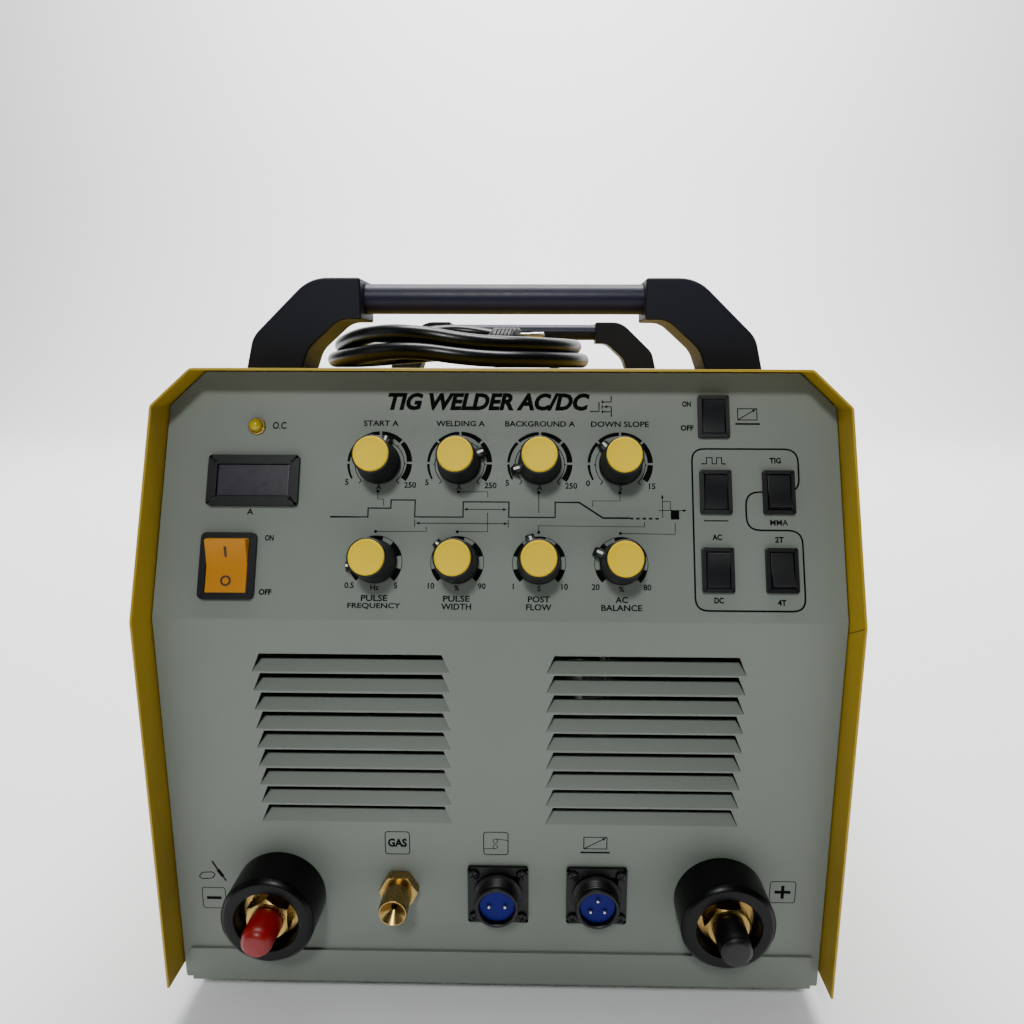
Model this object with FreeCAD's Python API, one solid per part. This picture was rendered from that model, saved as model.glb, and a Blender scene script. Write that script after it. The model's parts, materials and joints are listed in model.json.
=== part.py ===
import FreeCAD, Part
import math
import os
from FreeCAD import Vector

# A portable inverter welding machine: a bent-steel tray, front and rear panels, a U-shaped cover with two
# carrying handles, controls on the leaning upper half of the front, and the power parts inside.
# Millimetres. +X is right as seen from the front, +Y runs from front to rear, +Z is up.
# The origin is on the floor, under the middle of the machine without its mains cord.

# ---------------------------------------------------------------- driving dimensions
cover_width = 326.5           # outside, across the cover's sides
cover_top = 320.0             # floor to the top of the cover
cover_bottom = 20.0           # floor to the lower edge of the cover's sides
cover_chamfer = 17.3          # leg of the 45 degree corner between top and side
cover_sheet = 1.2
cover_bend = 3.0              # outside radius of the cover's folds
panel_depth = 518.0           # front panel's outer face to rear panel's outer face
overhang = 16.3               # how far the cover stands proud of both panels
panel_sheet = 1.5
panel_return = 14.0           # depth of the folded edge round each panel
panel_gap = 0.5               # between the panels' folded edges and the cover
knee_height = 205.7           # floor to the fold where the front panel starts to lean back
lean = 20.5                   # degrees that the upper half leans back
knee_bend = 4.0

tray_sheet = 1.5
tray_flange = 48.0            # height of the tray's side flanges
tray_lip = 18.2               # height of the lips in front of and behind the panels
lip_inset = 4.5               # the lips stop this far short of the cover's sides
lip_corner = 3.0
foot_height = 12.0
foot_radius = 15.0
foot_inset_x = 35.0           # foot centre to the cover's outer face
foot_inset_y = 42.0           # foot centre to the panel's outer face

terminal_reach = 37.5         # front panel to the tip of the terminal caps
inlet_reach = 28.0            # rear panel to the tip of the gas inlet

screw_radius = 2.0            # M4 pan-head screws hold the case, the handles, the feet and the fan
screw_head_radius = 4.0
screw_head = 2.6
screw_clearance = 0.2

handle_thickness = 30.0       # bracket, front to rear
handle_centre = 35.0          # tube centre above the cover
handle_tube_radius = 7.5
handle_tube_wall = 1.5
handle_tube_half = 92.0       # half the tube's length
front_handle_y = 71.0         # from the front panel's lower face
rear_handle_y = 71.0          # from the rear panel
bracket_screw_x = 113.0
bracket_screw_y = 8.0         # either side of the bracket's middle

louvre_count = 9
louvre_pitch = 9.76
louvre_top = 188.4            # upper edge of the first slot
louvre_inner = 26.5           # slot ends, either side of the middle
louvre_outer = 112.6
louvre_height = 8.7
louvre_flare = 3.6            # how much wider the flap's fold is than the slot's upper edge, each end
louvre_depth = 4.4            # how far the flap's free edge is pressed in
louvre_rise = 4.7             # that edge's height above the fold
louvre_end_gap = 1.0          # between the flap's upper corners and the slot's ends

dial_pitch = 38.4
dial_first = -57.8
dial_rows = (74.1, 26.8)      # up the leaning face from the knee
knob_base_radius = 11.0
knob_top_radius = 9.0
knob_height = 20.0
knob_lift = 0.8               # knob to panel
knob_nut_clearance = 1.1      # round the potentiometer's nut, in the hollow behind the knob
knob_pointer_reach = 14.4
knob_pointer_width = 4.4
knob_pointer_height = 5.5
knob_cap_radius = 8.2
knob_cap_proud = 0.9
knob_cap_seat = 1.4
shaft_radius = 3.0
shaft_clearance = 0.05
potentiometer_radius = 8.3
potentiometer_depth = 8.0
bushing_wall = 0.5
nut_wall = 1.5                # bushing to the nut's flats
board_sheet = 1.6
board_stand_off = 3.5         # potentiometer's back to the control board

# name, column, row, pointer angle in degrees clockwise from straight up
knobs = (
    ("start_current", 0, 0, 18.0),
    ("welding_current", 1, 0, 65.0),
    ("background_current", 2, 0, -106.0),
    ("down_slope", 3, 0, -43.0),
    ("pulse_frequency", 0, 1, -101.0),
    ("pulse_width", 1, 1, -47.0),
    ("post_flow", 2, 1, -20.0),
    ("ac_balance", 3, 1, -66.0),
)

switch_throw = 11.0           # degrees either side of level
switch_flange = 2.0
switch_dish = 1.0             # pivot axis below the flange's front face
switch_gap = 0.2
trunnion_radius = 1.2
trunnion_clearance = 0.05
trunnion_reach = 0.9
small_switch = {"width": 15.0, "height": 21.0, "rocker": 10.8, "radius": 8.4, "depth": 13.0}
power_switch = {"width": 26.3, "height": 31.6, "rocker": 19.4, "radius": 13.0, "depth": 19.0}
switch_wall = 1.0             # the housing's body is this much smaller than its flange, each side
# name, across, up the leaning face, and the end that is pressed in: -1 the lower end, 1 the upper
small_switches = (
    ("remote_switch", 102.2, 97.9, -1),
    ("pulse_switch", 102.2, 61.0, -1),
    ("tig_mma_switch", 131.8, 61.0, 1),
    ("ac_dc_switch", 102.2, 24.0, -1),
    ("two_four_step_switch", 131.8, 24.0, 1),
)
power_switch_at = (-127.3, 24.4)

meter_at = (-117.7, 65.4)
meter_width = 43.6
meter_height = 24.7
meter_flange = 2.4
meter_body_inset = 2.6
meter_body_depth = 21.0
meter_window_width = 34.6
meter_window_height = 16.6
meter_window_sheet = 1.5
lamp_at = (-118.0, 92.3)
lamp_radius = 3.0
lamp_holder_radius = 4.2

terminal_x = 109.4
terminal_z = 62.0
insulator_radius = 22.5
insulator_reach = 22.0
insulator_neck_radius = 17.0
insulator_neck = 12.0
insulator_recess_radius = 15.2
insulator_recess = 9.0
stud_radius = 6.0
stud_inside = 30.0
stud_nut_flats = 21.0
stud_nut = 8.0
cap_radius = 7.75
cap_end = 2.0
cap_clearance = 0.25

gas_x = -49.5
gas_z = 66.5
gas_flats = 17.0
gas_hex = 6.0
gas_nose_radius = 7.0
gas_reach = 20.0
gas_bore_radius = 2.0
gas_thread_radius = 6.2
barb_radius = 3.2

socket_z = 63.5
socket_xs = (-0.5, 48.4)
socket_pins = (2, 3)
socket_flange_width = 30.0
socket_flange_height = 30.5
socket_flange = 2.0
socket_barrel_radius = 10.7
socket_reach = 12.0
socket_bore_radius = 8.9
socket_back = 14.0
socket_insert_radius = 7.7
socket_insert_setback = 2.5
socket_pin_radius = 0.9
socket_screw_spacing = 23.6
socket_screw_radius = 1.5
socket_screw_head_radius = 2.7
socket_screw_head = 1.8

fan_x = 70.0
fan_z = 118.0
fan_side = 120.0
fan_depth = 25.0
fan_duct_radius = 57.5
fan_hub_radius = 21.0
fan_tip_gap = 1.2
fan_screw_spacing = 105.0
fan_axle_radius = 2.0
fan_axle_clearance = 0.05
fan_blades = 7
guard_wire_radius = 1.1
guard_rings = (20.0, 32.0, 44.0, 56.0)
guard_hub_radius = 9.0

gas_valve_x = -118.0
gas_valve_z = 62.0
valve_width = 28.0
valve_length = 36.0
valve_height = 22.0
valve_stem_radius = 5.5
valve_bore_radius = 4.0
valve_clearance = 0.1
valve_stem = 36.0
valve_lift = 2.0
valve_coil_side = 30.0
valve_coil_height = 28.0
hose_radius = 4.5

gland_x = -112.0
gland_z = 215.0
gland_radius = 14.0
gland_reach = 22.0
gland_thread_radius = 9.8
cord_diameter = 10.5

coil_centre_x = -42.0
coil_centre_y = -268.0        # from the rear panel
coil_outer_x = 99.0
coil_outer_y = 112.0
coil_inner_x = 62.0
coil_inner_y = 74.0
coil_height = 34.5
coil_round = 8.0
plug_radius = 15.5
plug_length = 38.0
plug_pin_radius = 2.4
plug_pin = 19.0
plug_pin_spacing = 19.0

heatsink_length = 170.0
heatsink_height = 136.0
heatsink_base = 6.0
heatsink_fin = 38.0
heatsink_fins = 9
heatsink_half_gap = 56.0      # fan axis to each heatsink's back face
capacitor_radius = 17.5
capacitor_height = 50.0
transformer_x = -40.0
transformer_y = -120.0        # from the rear panel
choke_x = 15.0
choke_y = 120.0               # from the front panel
choke_radius = 45.0
choke_height = 44.0

# ---------------------------------------------------------------- places worked out from them
length_over_all = panel_depth + terminal_reach + inlet_reach
front_y = terminal_reach - length_over_all / 2
rear_y = front_y + panel_depth
half_width = cover_width / 2
tray_bottom = foot_height
tray_floor = tray_bottom + tray_sheet
lean_rad = math.radians(lean)
ceiling = cover_top - cover_sheet
panel_inset = cover_sheet + panel_gap
panel_top = cover_top - panel_inset
hole_radius = screw_radius + screw_clearance
bushing_radius = shaft_radius + bushing_wall
bushing_nut_flats = 2 * (bushing_radius + nut_wall)


# ---------------------------------------------------------------- shared shapes
def box(x0, x1, y0, y1, z0, z1):
    return Part.makeBox(x1 - x0, y1 - y0, z1 - z0, Vector(x0, y0, z0))


def block(x, z, width, height, y0, y1):
    """A box centred on x and z, from y0 to y1."""
    return box(x - width / 2, x + width / 2, y0, y1, z - height / 2, z + height / 2)


def rod_y(x, z, y0, y1, radius):
    return Part.makeCylinder(radius, y1 - y0, Vector(x, y0, z), Vector(0, 1, 0))


def cone_y(x, z, y0, y1, radius_0, radius_1):
    return Part.makeCone(radius_0, radius_1, y1 - y0, Vector(x, y0, z), Vector(0, 1, 0))


def rod_z(x, y, z0, z1, radius):
    return Part.makeCylinder(radius, z1 - z0, Vector(x, y, z0))


def rod_x(y, z, x0, x1, radius):
    return Part.makeCylinder(radius, x1 - x0, Vector(x0, y, z), Vector(1, 0, 0))


def hexagon_y(x, z, y0, y1, flats, turn=0.0):
    """A hexagonal bar along Y. turn is in degrees from a corner pointing along +X."""
    reach = flats / math.sqrt(3)
    corners = []
    for step in range(7):
        angle = math.radians(turn + 60 * step)
        corners.append(Vector(x + reach * math.cos(angle), y0, z + reach * math.sin(angle)))
    return Part.Face(Part.makePolygon(corners)).extrude(Vector(0, y1 - y0, 0))


def rounded_face(points, radii):
    """A flat face with the given corners, each rounded by its own radius."""
    starts = []
    arcs = []
    ends = []
    for i, corner in enumerate(points):
        back = Vector(points[i - 1] - corner).normalize()
        ahead = Vector(points[(i + 1) % len(points)] - corner).normalize()
        half = back.getAngle(ahead) / 2
        reach = radii[i] / math.tan(half)
        inward = Vector(back + ahead).normalize()
        start = corner + back * reach
        end = corner + ahead * reach
        starts.append(start)
        ends.append(end)
        if radii[i] > 0:
            middle = corner + inward * (radii[i] / math.sin(half) - radii[i])
            arcs.append(Part.Arc(start, middle, end).toShape())
        else:
            arcs.append(None)
    edges = []
    for i in range(len(points)):
        if arcs[i]:
            edges.append(arcs[i])
        following = starts[(i + 1) % len(points)]
        edges.append(Part.LineSegment(ends[i], following).toShape())
    return Part.Face(Part.Wire(edges))


def prism_x(points, radii, x0, x1):
    """A solid with one outline of (y, z) points, from x0 to x1."""
    face = rounded_face([Vector(x0, y, z) for y, z in points], radii)
    return face.extrude(Vector(x1 - x0, 0, 0))


def prism_y(points, radii, y0, y1):
    """A solid with one outline of (x, z) points, from y0 to y1."""
    face = rounded_face([Vector(x, y0, z) for x, z in points], radii)
    return face.extrude(Vector(0, y1 - y0, 0))


def rounded_plate(x, z, width, height, y0, y1, radius):
    """A plate facing along Y with rounded corners."""
    right = x + width / 2
    left = x - width / 2
    upper = z + height / 2
    lower = z - height / 2
    outline = [(left, lower), (right, lower), (right, upper), (left, upper)]
    return prism_y(outline, [radius] * 4, y0, y1)


def turned(profile, x, z):
    """A solid turned round a line along Y through x and z, from (radius, y) points."""
    corners = [Vector(x + radius, y, z) for radius, y in profile]
    corners.append(corners[0])
    return Part.Face(Part.makePolygon(corners)).revolve(Vector(x, 0, z), Vector(0, 1, 0), 360)


def on_upper(shape):
    """Moves a shape drawn on an upright face at y = 0, z = 0 onto the leaning upper front."""
    placed = shape.copy()
    placed.rotate(Vector(0, 0, 0), Vector(1, 0, 0), -lean)
    placed.translate(Vector(0, front_y, knee_height))
    return placed


def on_front(shape):
    """Moves a shape drawn on an upright face at y = 0 onto the lower front."""
    placed = shape.copy()
    placed.translate(Vector(0, front_y, 0))
    return placed


def on_rear(shape):
    """Moves a shape drawn with y measured from the rear panel's outer face."""
    placed = shape.copy()
    placed.translate(Vector(0, rear_y, 0))
    return placed


def save(node, solids):
    """Writes one sub-part. Each entry of solids is one separate piece."""
    whole = Part.makeCompound(solids) if len(solids) > 1 else solids[0]
    for solid in solids:
        if not solid.isValid() or len(solid.Solids) != 1:
            print("CHECK", node, "valid", solid.isValid(), "solids", len(solid.Solids))
    whole.exportStep("parts/" + node + ".step")
    bounds = whole.BoundBox
    print(
        f"{node:28s} {len(solids):3d} pieces  x {bounds.XMin:7.1f} {bounds.XMax:7.1f}"
        f"  y {bounds.YMin:7.1f} {bounds.YMax:7.1f}  z {bounds.ZMin:6.1f} {bounds.ZMax:6.1f}"
    )


# ---------------------------------------------------------------- case
def case_section(inset, bottom, radius):
    """The outline of the cover across the machine, drawn in by inset all round but at the bottom."""
    side = half_width - inset
    top = cover_top - inset
    corner = cover_chamfer - inset * (2 - math.sqrt(2))
    outline = [
        (-side, bottom),
        (side, bottom),
        (side, top - corner),
        (side - corner, top),
        (corner - side, top),
        (-side, top - corner),
    ]
    return outline, [0, 0, radius, radius, radius, radius]


def front_line(offset, bottom, top, radius):
    """The front's side view, moved out from the front panel's face by offset, as (y, z) points."""
    bend_y = front_y - offset
    bend_z = knee_height + offset * math.tan(lean_rad / 2)
    top_y = bend_y + (top - bend_z) * math.tan(lean_rad)
    return [(bend_y, bottom), (bend_y, bend_z), (top_y, top)], [0, radius, 0]


def outer_cover():
    outline, radii = case_section(0, cover_bottom, cover_bend)
    inner, inner_radii = case_section(cover_sheet, cover_bottom - 1, cover_bend - cover_sheet)
    far = rear_y + overhang
    shell = prism_y(outline, radii, front_y - 2 * overhang, far)
    shell = shell.cut(prism_y(inner, inner_radii, front_y - 3 * overhang, far + 1))
    line, line_radii = front_line(overhang, cover_bottom, cover_top, knee_bend)
    side = line + [(far, cover_top), (far, cover_bottom)]
    shell = shell.common(prism_x(side, line_radii + [0, 0], -half_width, half_width))
    for x, y, z in side_screw_places():
        shell = shell.cut(rod_x(y, z, x - 5, x + 5, hole_radius))
    for x, y in bracket_screw_places():
        shell = shell.cut(rod_z(x, y, ceiling - 1, cover_top + 1, hole_radius))
    return shell


def front_panel():
    outer, outer_radii = case_section(panel_inset, tray_floor, cover_bend - cover_sheet)
    inner, inner_radii = case_section(panel_inset + panel_sheet, tray_floor - 1, 0)
    line, line_radii = front_line(0, tray_floor, panel_top, knee_bend)
    back = [(y + panel_return, z) for y, z in reversed(line)]
    pan = prism_x(line + back, line_radii + line_radii, -half_width, half_width)
    pan = pan.common(prism_y(outer, outer_radii, front_y - 5, rear_y))
    inside_bend = knee_bend - panel_sheet
    hollow_line, hollow_radii = front_line(-panel_sheet, tray_floor - 1, cover_top, inside_bend)
    hollow_side = hollow_line + [(rear_y, cover_top), (rear_y, tray_floor - 1)]
    hollow = prism_x(hollow_side, hollow_radii + [0, 0], -half_width, half_width)
    hollow = hollow.common(prism_y(inner, inner_radii, front_y - 5, rear_y))
    pan = pan.cut(hollow)
    return pan.cut(Part.makeCompound(front_holes())).fuse(louvre_flaps()).removeSplitter()


def front_holes():
    """Everything that is cut out of the front panel for the pieces it carries."""
    thick = panel_sheet + 2
    holes = []
    for row in dial_rows:
        for column in range(4):
            x = dial_first + dial_pitch * column
            holes.append(on_upper(rod_y(x, row, -1, thick, bushing_radius + 0.1)))
    for name, x, z, pressed in small_switches:
        holes.append(on_upper(switch_cutout(x, z, small_switch, thick)))
    holes.append(on_upper(switch_cutout(power_switch_at[0], power_switch_at[1], power_switch, thick)))
    holes.append(on_upper(meter_body(meter_at[0], meter_at[1], 0.1, -1, thick)))
    holes.append(on_upper(rod_y(lamp_at[0], lamp_at[1], -1, thick, lamp_radius + 0.3)))
    for x in (-terminal_x, terminal_x):
        holes.append(on_front(rod_y(x, terminal_z, -1, thick, insulator_neck_radius + 0.2)))
    holes.append(on_front(rod_y(gas_x, gas_z, -1, thick, gas_thread_radius + 0.2)))
    for x in socket_xs:
        holes.append(on_front(rod_y(x, socket_z, -1, thick, socket_barrel_radius + 0.3)))
        for dx, dz in corners_of(socket_screw_spacing):
            holes.append(on_front(rod_y(x + dx, socket_z + dz, -1, thick, socket_screw_radius)))
    for side in (-1, 1):
        for step in range(louvre_count):
            holes.append(louvre_slot(side, step))
    return holes


def louvre_outline(side, step, gap=0.0):
    """The slot seen from the front, or the flap in it with a gap at its upper corners."""
    top = louvre_top - louvre_pitch * step
    low = top - louvre_height
    outline = [
        (side * (louvre_inner - louvre_flare), low),
        (side * (louvre_outer + louvre_flare), low),
        (side * (louvre_outer - gap), top),
        (side * (louvre_inner + gap), top),
    ]
    return outline, low


def louvre_slot(side, step):
    outline, low = louvre_outline(side, step)
    return prism_y(outline, [0] * 4, front_y - 1, front_y + panel_sheet + 1)


def louvre_flaps():
    """The pressed-in flaps, each hinged on the lower edge of its slot."""
    flaps = []
    for side in (-1, 1):
        for step in range(louvre_count):
            outline, low = louvre_outline(side, step, louvre_end_gap)
            strip = [
                (front_y, low),
                (front_y + louvre_depth, low + louvre_rise),
                (front_y + louvre_depth + panel_sheet, low + louvre_rise),
                (front_y + panel_sheet, low),
            ]
            reach = louvre_outer + louvre_flare
            plate = prism_x(strip, [0] * 4, -reach, reach)
            flaps.append(plate.common(prism_y(outline, [0] * 4, front_y - 1, front_y + 10)))
    return Part.makeCompound(flaps)


def rear_panel():
    outer, outer_radii = case_section(panel_inset, tray_floor, cover_bend - cover_sheet)
    inner, inner_radii = case_section(panel_inset + panel_sheet, tray_floor - 1, 0)
    pan = prism_y(outer, outer_radii, rear_y - panel_return, rear_y)
    pan = pan.cut(prism_y(inner, inner_radii, rear_y - panel_return - 1, rear_y - panel_sheet))
    pan = pan.cut(on_rear(rod_y(fan_x, fan_z, -5, 1, fan_duct_radius)))
    for dx, dz in corners_of(fan_screw_spacing):
        pan = pan.cut(on_rear(rod_y(fan_x + dx, fan_z + dz, -5, 1, hole_radius)))
    pan = pan.cut(on_rear(rod_y(gland_x, gland_z, -5, 1, gland_thread_radius + 0.2)))
    return pan.cut(on_rear(rod_y(gas_valve_x, gas_valve_z, -5, 1, gas_thread_radius + 0.2)))


def base_tray():
    side = half_width - panel_inset
    front = front_y - tray_sheet
    rear = rear_y + tray_sheet
    lip_half = half_width - cover_sheet - lip_inset
    lip_top = tray_bottom + tray_lip
    # The floor is full width between the panels, and narrower where it turns up into a lip.
    floor = box(-lip_half, lip_half, front, rear, tray_bottom, tray_floor)
    floor = floor.fuse(box(-side, side, front_y + 0.5, rear_y - 0.5, tray_bottom, tray_floor))
    lip = [(-lip_half, tray_bottom), (lip_half, tray_bottom), (lip_half, lip_top), (-lip_half, lip_top)]
    lip_radii = [lip_corner, lip_corner, lip_corner / 2, lip_corner / 2]
    floor = floor.fuse(prism_y(lip, lip_radii, front, front_y)).fuse(prism_y(lip, lip_radii, rear_y, rear))
    flange_start = front_y + panel_return + 1
    flange_end = rear_y - panel_return - 1
    for x in (-side, side - tray_sheet):
        flange = box(x, x + tray_sheet, flange_start, flange_end, tray_bottom, tray_bottom + tray_flange)
        floor = floor.fuse(flange)
    for x, y, z in side_screw_places():
        floor = floor.cut(rod_x(y, z, x - 5, x + 5, screw_radius))
    for x, y in foot_places():
        floor = floor.cut(rod_z(x, y, tray_bottom - 1, tray_floor + 1, screw_radius))
    return floor.removeSplitter()


def foot_places():
    x = half_width - foot_inset_x
    return [(sx * x, y) for sx in (-1, 1) for y in (front_y + foot_inset_y, rear_y - foot_inset_y)]


def rubber_feet():
    """Slightly tapered feet, each with a deep hole that sinks its screw's head."""
    feet = []
    for x, y in foot_places():
        foot = Part.makeCone(foot_radius - 1.5, foot_radius, foot_height, Vector(x, y, 0))
        foot = foot.cut(rod_z(x, y, -1, foot_height / 2, screw_head_radius + 0.4))
        feet.append(foot.cut(rod_z(x, y, -1, foot_height + 1, hole_radius)))
    return feet


def corners_of(spacing):
    half = spacing / 2
    return [(-half, -half), (half, -half), (half, half), (-half, half)]


def side_screw_places():
    """Four screws low on each side hold the cover to the tray."""
    z = tray_bottom + tray_flange * 0.6
    first = front_y + 60
    last = rear_y - 60
    places = []
    for sx in (-1, 1):
        for step in range(4):
            places.append((sx * half_width, first + (last - first) * step / 3, z))
    return places


def bracket_screw_places():
    places = []
    for y in (front_y + front_handle_y, rear_y - rear_handle_y):
        for sx in (-1, 1):
            for sy in (-1, 1):
                places.append((sx * bracket_screw_x, y + sy * bracket_screw_y))
    return places


def pan_head_screw(shank):
    """A screw along +Z with its head's seat at z = 0 and a cross recess."""
    head = Part.makeCylinder(screw_head_radius, screw_head, Vector(0, 0, -screw_head))
    rim = [e for e in head.Edges if abs(e.BoundBox.ZMax + screw_head) < 0.01 and e.BoundBox.XLength > 1]
    head = head.makeFillet(screw_head * 0.4, rim)
    recess = box(-2, 2, -0.5, 0.5, -screw_head - 1, -screw_head + 1.3)
    recess = recess.fuse(box(-0.5, 0.5, -2, 2, -screw_head - 1, -screw_head + 1.3))
    return head.cut(recess).fuse(Part.makeCylinder(screw_radius, shank))


def case_screws():
    screws = []
    for x, y, z in side_screw_places():
        screw = pan_head_screw(7.0)
        screw.rotate(Vector(0, 0, 0), Vector(0, 1, 0), -90 if x > 0 else 90)
        screw.translate(Vector(x, y, z))
        screws.append(screw)
    for x, y in bracket_screw_places():
        screw = pan_head_screw(9.0)
        screw.translate(Vector(x, y, ceiling))
        screws.append(screw)
    for x, y in foot_places():
        screw = pan_head_screw(10.0)
        screw.translate(Vector(x, y, foot_height / 2))
        screws.append(screw)
    for dx, dz in corners_of(fan_screw_spacing):
        screw = pan_head_screw(20.0)
        screw.rotate(Vector(0, 0, 0), Vector(1, 0, 0), 90)
        screw.translate(Vector(fan_x + dx, rear_y + 2 * guard_wire_radius, fan_z + dz))
        screws.append(screw)
    return screws


# ---------------------------------------------------------------- handles
def handle_brackets():
    """Four moulded ends, each screwed to the cover from inside."""
    outline = [(130.4, 0), (126.5, 15.5), (96.0, 44.2), (71.0, 44.2), (71.0, 24.0), (82.0, 24.0),
               (98.5, 9.5), (102.0, 0)]
    radii = [0, 14.0, 22.0, 1.2, 1.2, 12.0, 14.0, 0]
    height = cover_top + handle_centre
    brackets = []
    for y in (front_y + front_handle_y, rear_y - rear_handle_y):
        for sx in (-1, 1):
            points = [(sx * x, cover_top + z) for x, z in outline]
            near = y - handle_thickness / 2
            bracket = prism_y(points, radii, near, near + handle_thickness)
            rims = [e for e in bracket.Edges if e.BoundBox.YLength < 0.01]
            rims = [e for e in rims if e.BoundBox.ZMax > cover_top + 20 and e.BoundBox.ZMin > cover_top + 0.1]
            bracket = bracket.makeFillet(1.2, rims)
            bracket = bracket.cut(rod_x(y, height, -handle_tube_half, handle_tube_half, handle_tube_radius))
            for screw_x, screw_y in bracket_screw_places():
                bracket = bracket.cut(rod_z(screw_x, screw_y, cover_top - 1, cover_top + 8, screw_radius))
            brackets.append(bracket)
    return brackets


def handle_tubes():
    tubes = []
    height = cover_top + handle_centre
    bore_radius = handle_tube_radius - handle_tube_wall
    for y in (front_y + front_handle_y, rear_y - rear_handle_y):
        tube = rod_x(y, height, -handle_tube_half, handle_tube_half, handle_tube_radius)
        tubes.append(tube.cut(rod_x(y, height, -handle_tube_half - 1, handle_tube_half + 1, bore_radius)))
    return tubes


# ---------------------------------------------------------------- rocker switches
def switch_cutout(x, z, size, depth):
    inset = 2 * switch_wall
    return block(x, z, size["width"] - inset + 0.2, size["height"] - inset + 0.2, -1, depth)


def switch_housing(x, z, size):
    """Flange in front of the panel, box behind it, and a round-bottomed well that the rocker swings in."""
    inset = 2 * switch_wall
    housing = rounded_plate(x, z, size["width"], size["height"], -switch_flange, 0, 1.2)
    edges = [e for e in housing.Edges if abs(e.BoundBox.YMax + switch_flange) < 0.01]
    housing = housing.makeFillet(0.6, edges)
    housing = housing.fuse(block(x, z, size["width"] - inset, size["height"] - inset, 0, size["depth"]))
    pivot = switch_dish - switch_flange
    half = size["rocker"] / 2 + switch_gap
    housing = housing.cut(rod_x(pivot, z, x - half, x + half, size["radius"] + switch_gap))
    pin_half = half + trunnion_reach
    housing = housing.cut(rod_x(pivot, z, x - pin_half, x + pin_half, trunnion_radius + trunnion_clearance))
    for step in (-1, 0, 1):
        blade_z = z + step * size["height"] * 0.28
        blade = block(x, blade_z, 4.8, 0.8, size["depth"], size["depth"] + 7)
        housing = housing.fuse(blade)
    return housing.removeSplitter()


def switch_rocker(x, z, size, pressed):
    """A shallow V on top of a drum, turned so that the pressed end is flush with the flange."""
    pivot = switch_dish - switch_flange
    half = size["rocker"] / 2
    radius = size["radius"]
    drum = rod_x(pivot, z, x - half, x + half, radius)
    slope = math.tan(math.radians(switch_throw))
    far = 2 * radius
    valley = [
        (pivot - switch_dish, z),
        (pivot - switch_dish - far * slope, z + far),
        (pivot - 2 * far, z + far),
        (pivot - 2 * far, z - far),
        (pivot - switch_dish - far * slope, z - far),
    ]
    drum = drum.cut(prism_x(valley, [0] * 5, x - half - 1, x + half + 1))
    face_y = pivot - switch_dish - 0.5
    long_edges = [e for e in drum.Edges if e.BoundBox.XLength > half and e.BoundBox.YMax < face_y]
    drum = drum.makeFillet(0.5, long_edges)
    pin_half = half + switch_gap + trunnion_reach - 0.3
    drum = drum.fuse(rod_x(pivot, z, x - pin_half, x + pin_half, trunnion_radius))
    drum.rotate(Vector(x, pivot, z), Vector(1, 0, 0), -pressed * switch_throw)
    return drum


# ---------------------------------------------------------------- dials
def dial_place(column, row):
    return dial_first + dial_pitch * column, dial_rows[row]


def potentiometer(x, z):
    """Can behind the panel, threaded bushing and nut in front, with a bore for the knob's shaft."""
    back = panel_sheet + potentiometer_depth
    can = rod_y(x, z, panel_sheet, back, potentiometer_radius)
    can = can.fuse(rod_y(x, z, -4.4, panel_sheet + 1, bushing_radius))
    can = can.fuse(hexagon_y(x, z, -2.0, 0, bushing_nut_flats))
    can = can.cut(rod_y(x, z, -5, back - 1.5, shaft_radius + shaft_clearance))
    for step in (-1, 0, 1):
        leg = block(x + 3.5 * step, z - 6.0, 1.0, 1.0, back - 1, back + board_stand_off)
        can = can.fuse(leg)
    return can.removeSplitter()


def knob(x, z, angle):
    """The black knob with its pointer, and the steel shaft pressed into it."""
    near = -knob_lift
    far = near - knob_height + knob_cap_proud
    skirt = near - 3.4
    profile = [
        (0, near),
        (knob_base_radius, near),
        (knob_base_radius, skirt + 0.6),
        (knob_base_radius - 0.8, skirt),
        (knob_top_radius, far + 0.6),
        (knob_top_radius - 0.5, far),
        (0, far),
    ]
    body = turned(profile, x, z)
    front = near - knob_pointer_height
    pointer = block(x, z + knob_pointer_reach / 2, knob_pointer_width, knob_pointer_reach, front, near)
    slope_cut = [
        (front, z + knob_pointer_reach - 2.2),
        (near - 2.2, z + knob_pointer_reach + 0.1),
        (front - knob_pointer_height, z + knob_pointer_reach + 0.1),
        (front - knob_pointer_height, z + knob_pointer_reach - 2.2),
    ]
    pointer = pointer.cut(prism_x(slope_cut, [0] * 4, x - knob_pointer_width, x + knob_pointer_width))
    body = body.fuse(pointer)
    hollow_radius = bushing_nut_flats / math.sqrt(3) + knob_nut_clearance
    body = body.cut(rod_y(x, z, near - 4.6, near + 1, hollow_radius))
    body = body.cut(rod_y(x, z, far - 1, far + knob_cap_seat, knob_cap_radius))
    shaft_end = far + knob_cap_seat + 3.0
    shaft = rod_y(x, z, shaft_end, panel_sheet + potentiometer_depth - 2.0, shaft_radius)
    body = body.cut(shaft).removeSplitter()
    for piece in (body, shaft):
        piece.rotate(Vector(x, 0, z), Vector(0, 1, 0), angle)
    return [body, shaft]


def knob_cap(x, z):
    """The yellow disc set into the knob's end."""
    far = knob_cap_proud - knob_lift - knob_height
    disc = rod_y(x, z, far - knob_cap_proud, far + knob_cap_seat, knob_cap_radius)
    rim = [e for e in disc.Edges if e.BoundBox.YMax < far - knob_cap_proud + 0.01]
    return disc.makeFillet(0.6, rim)


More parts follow.
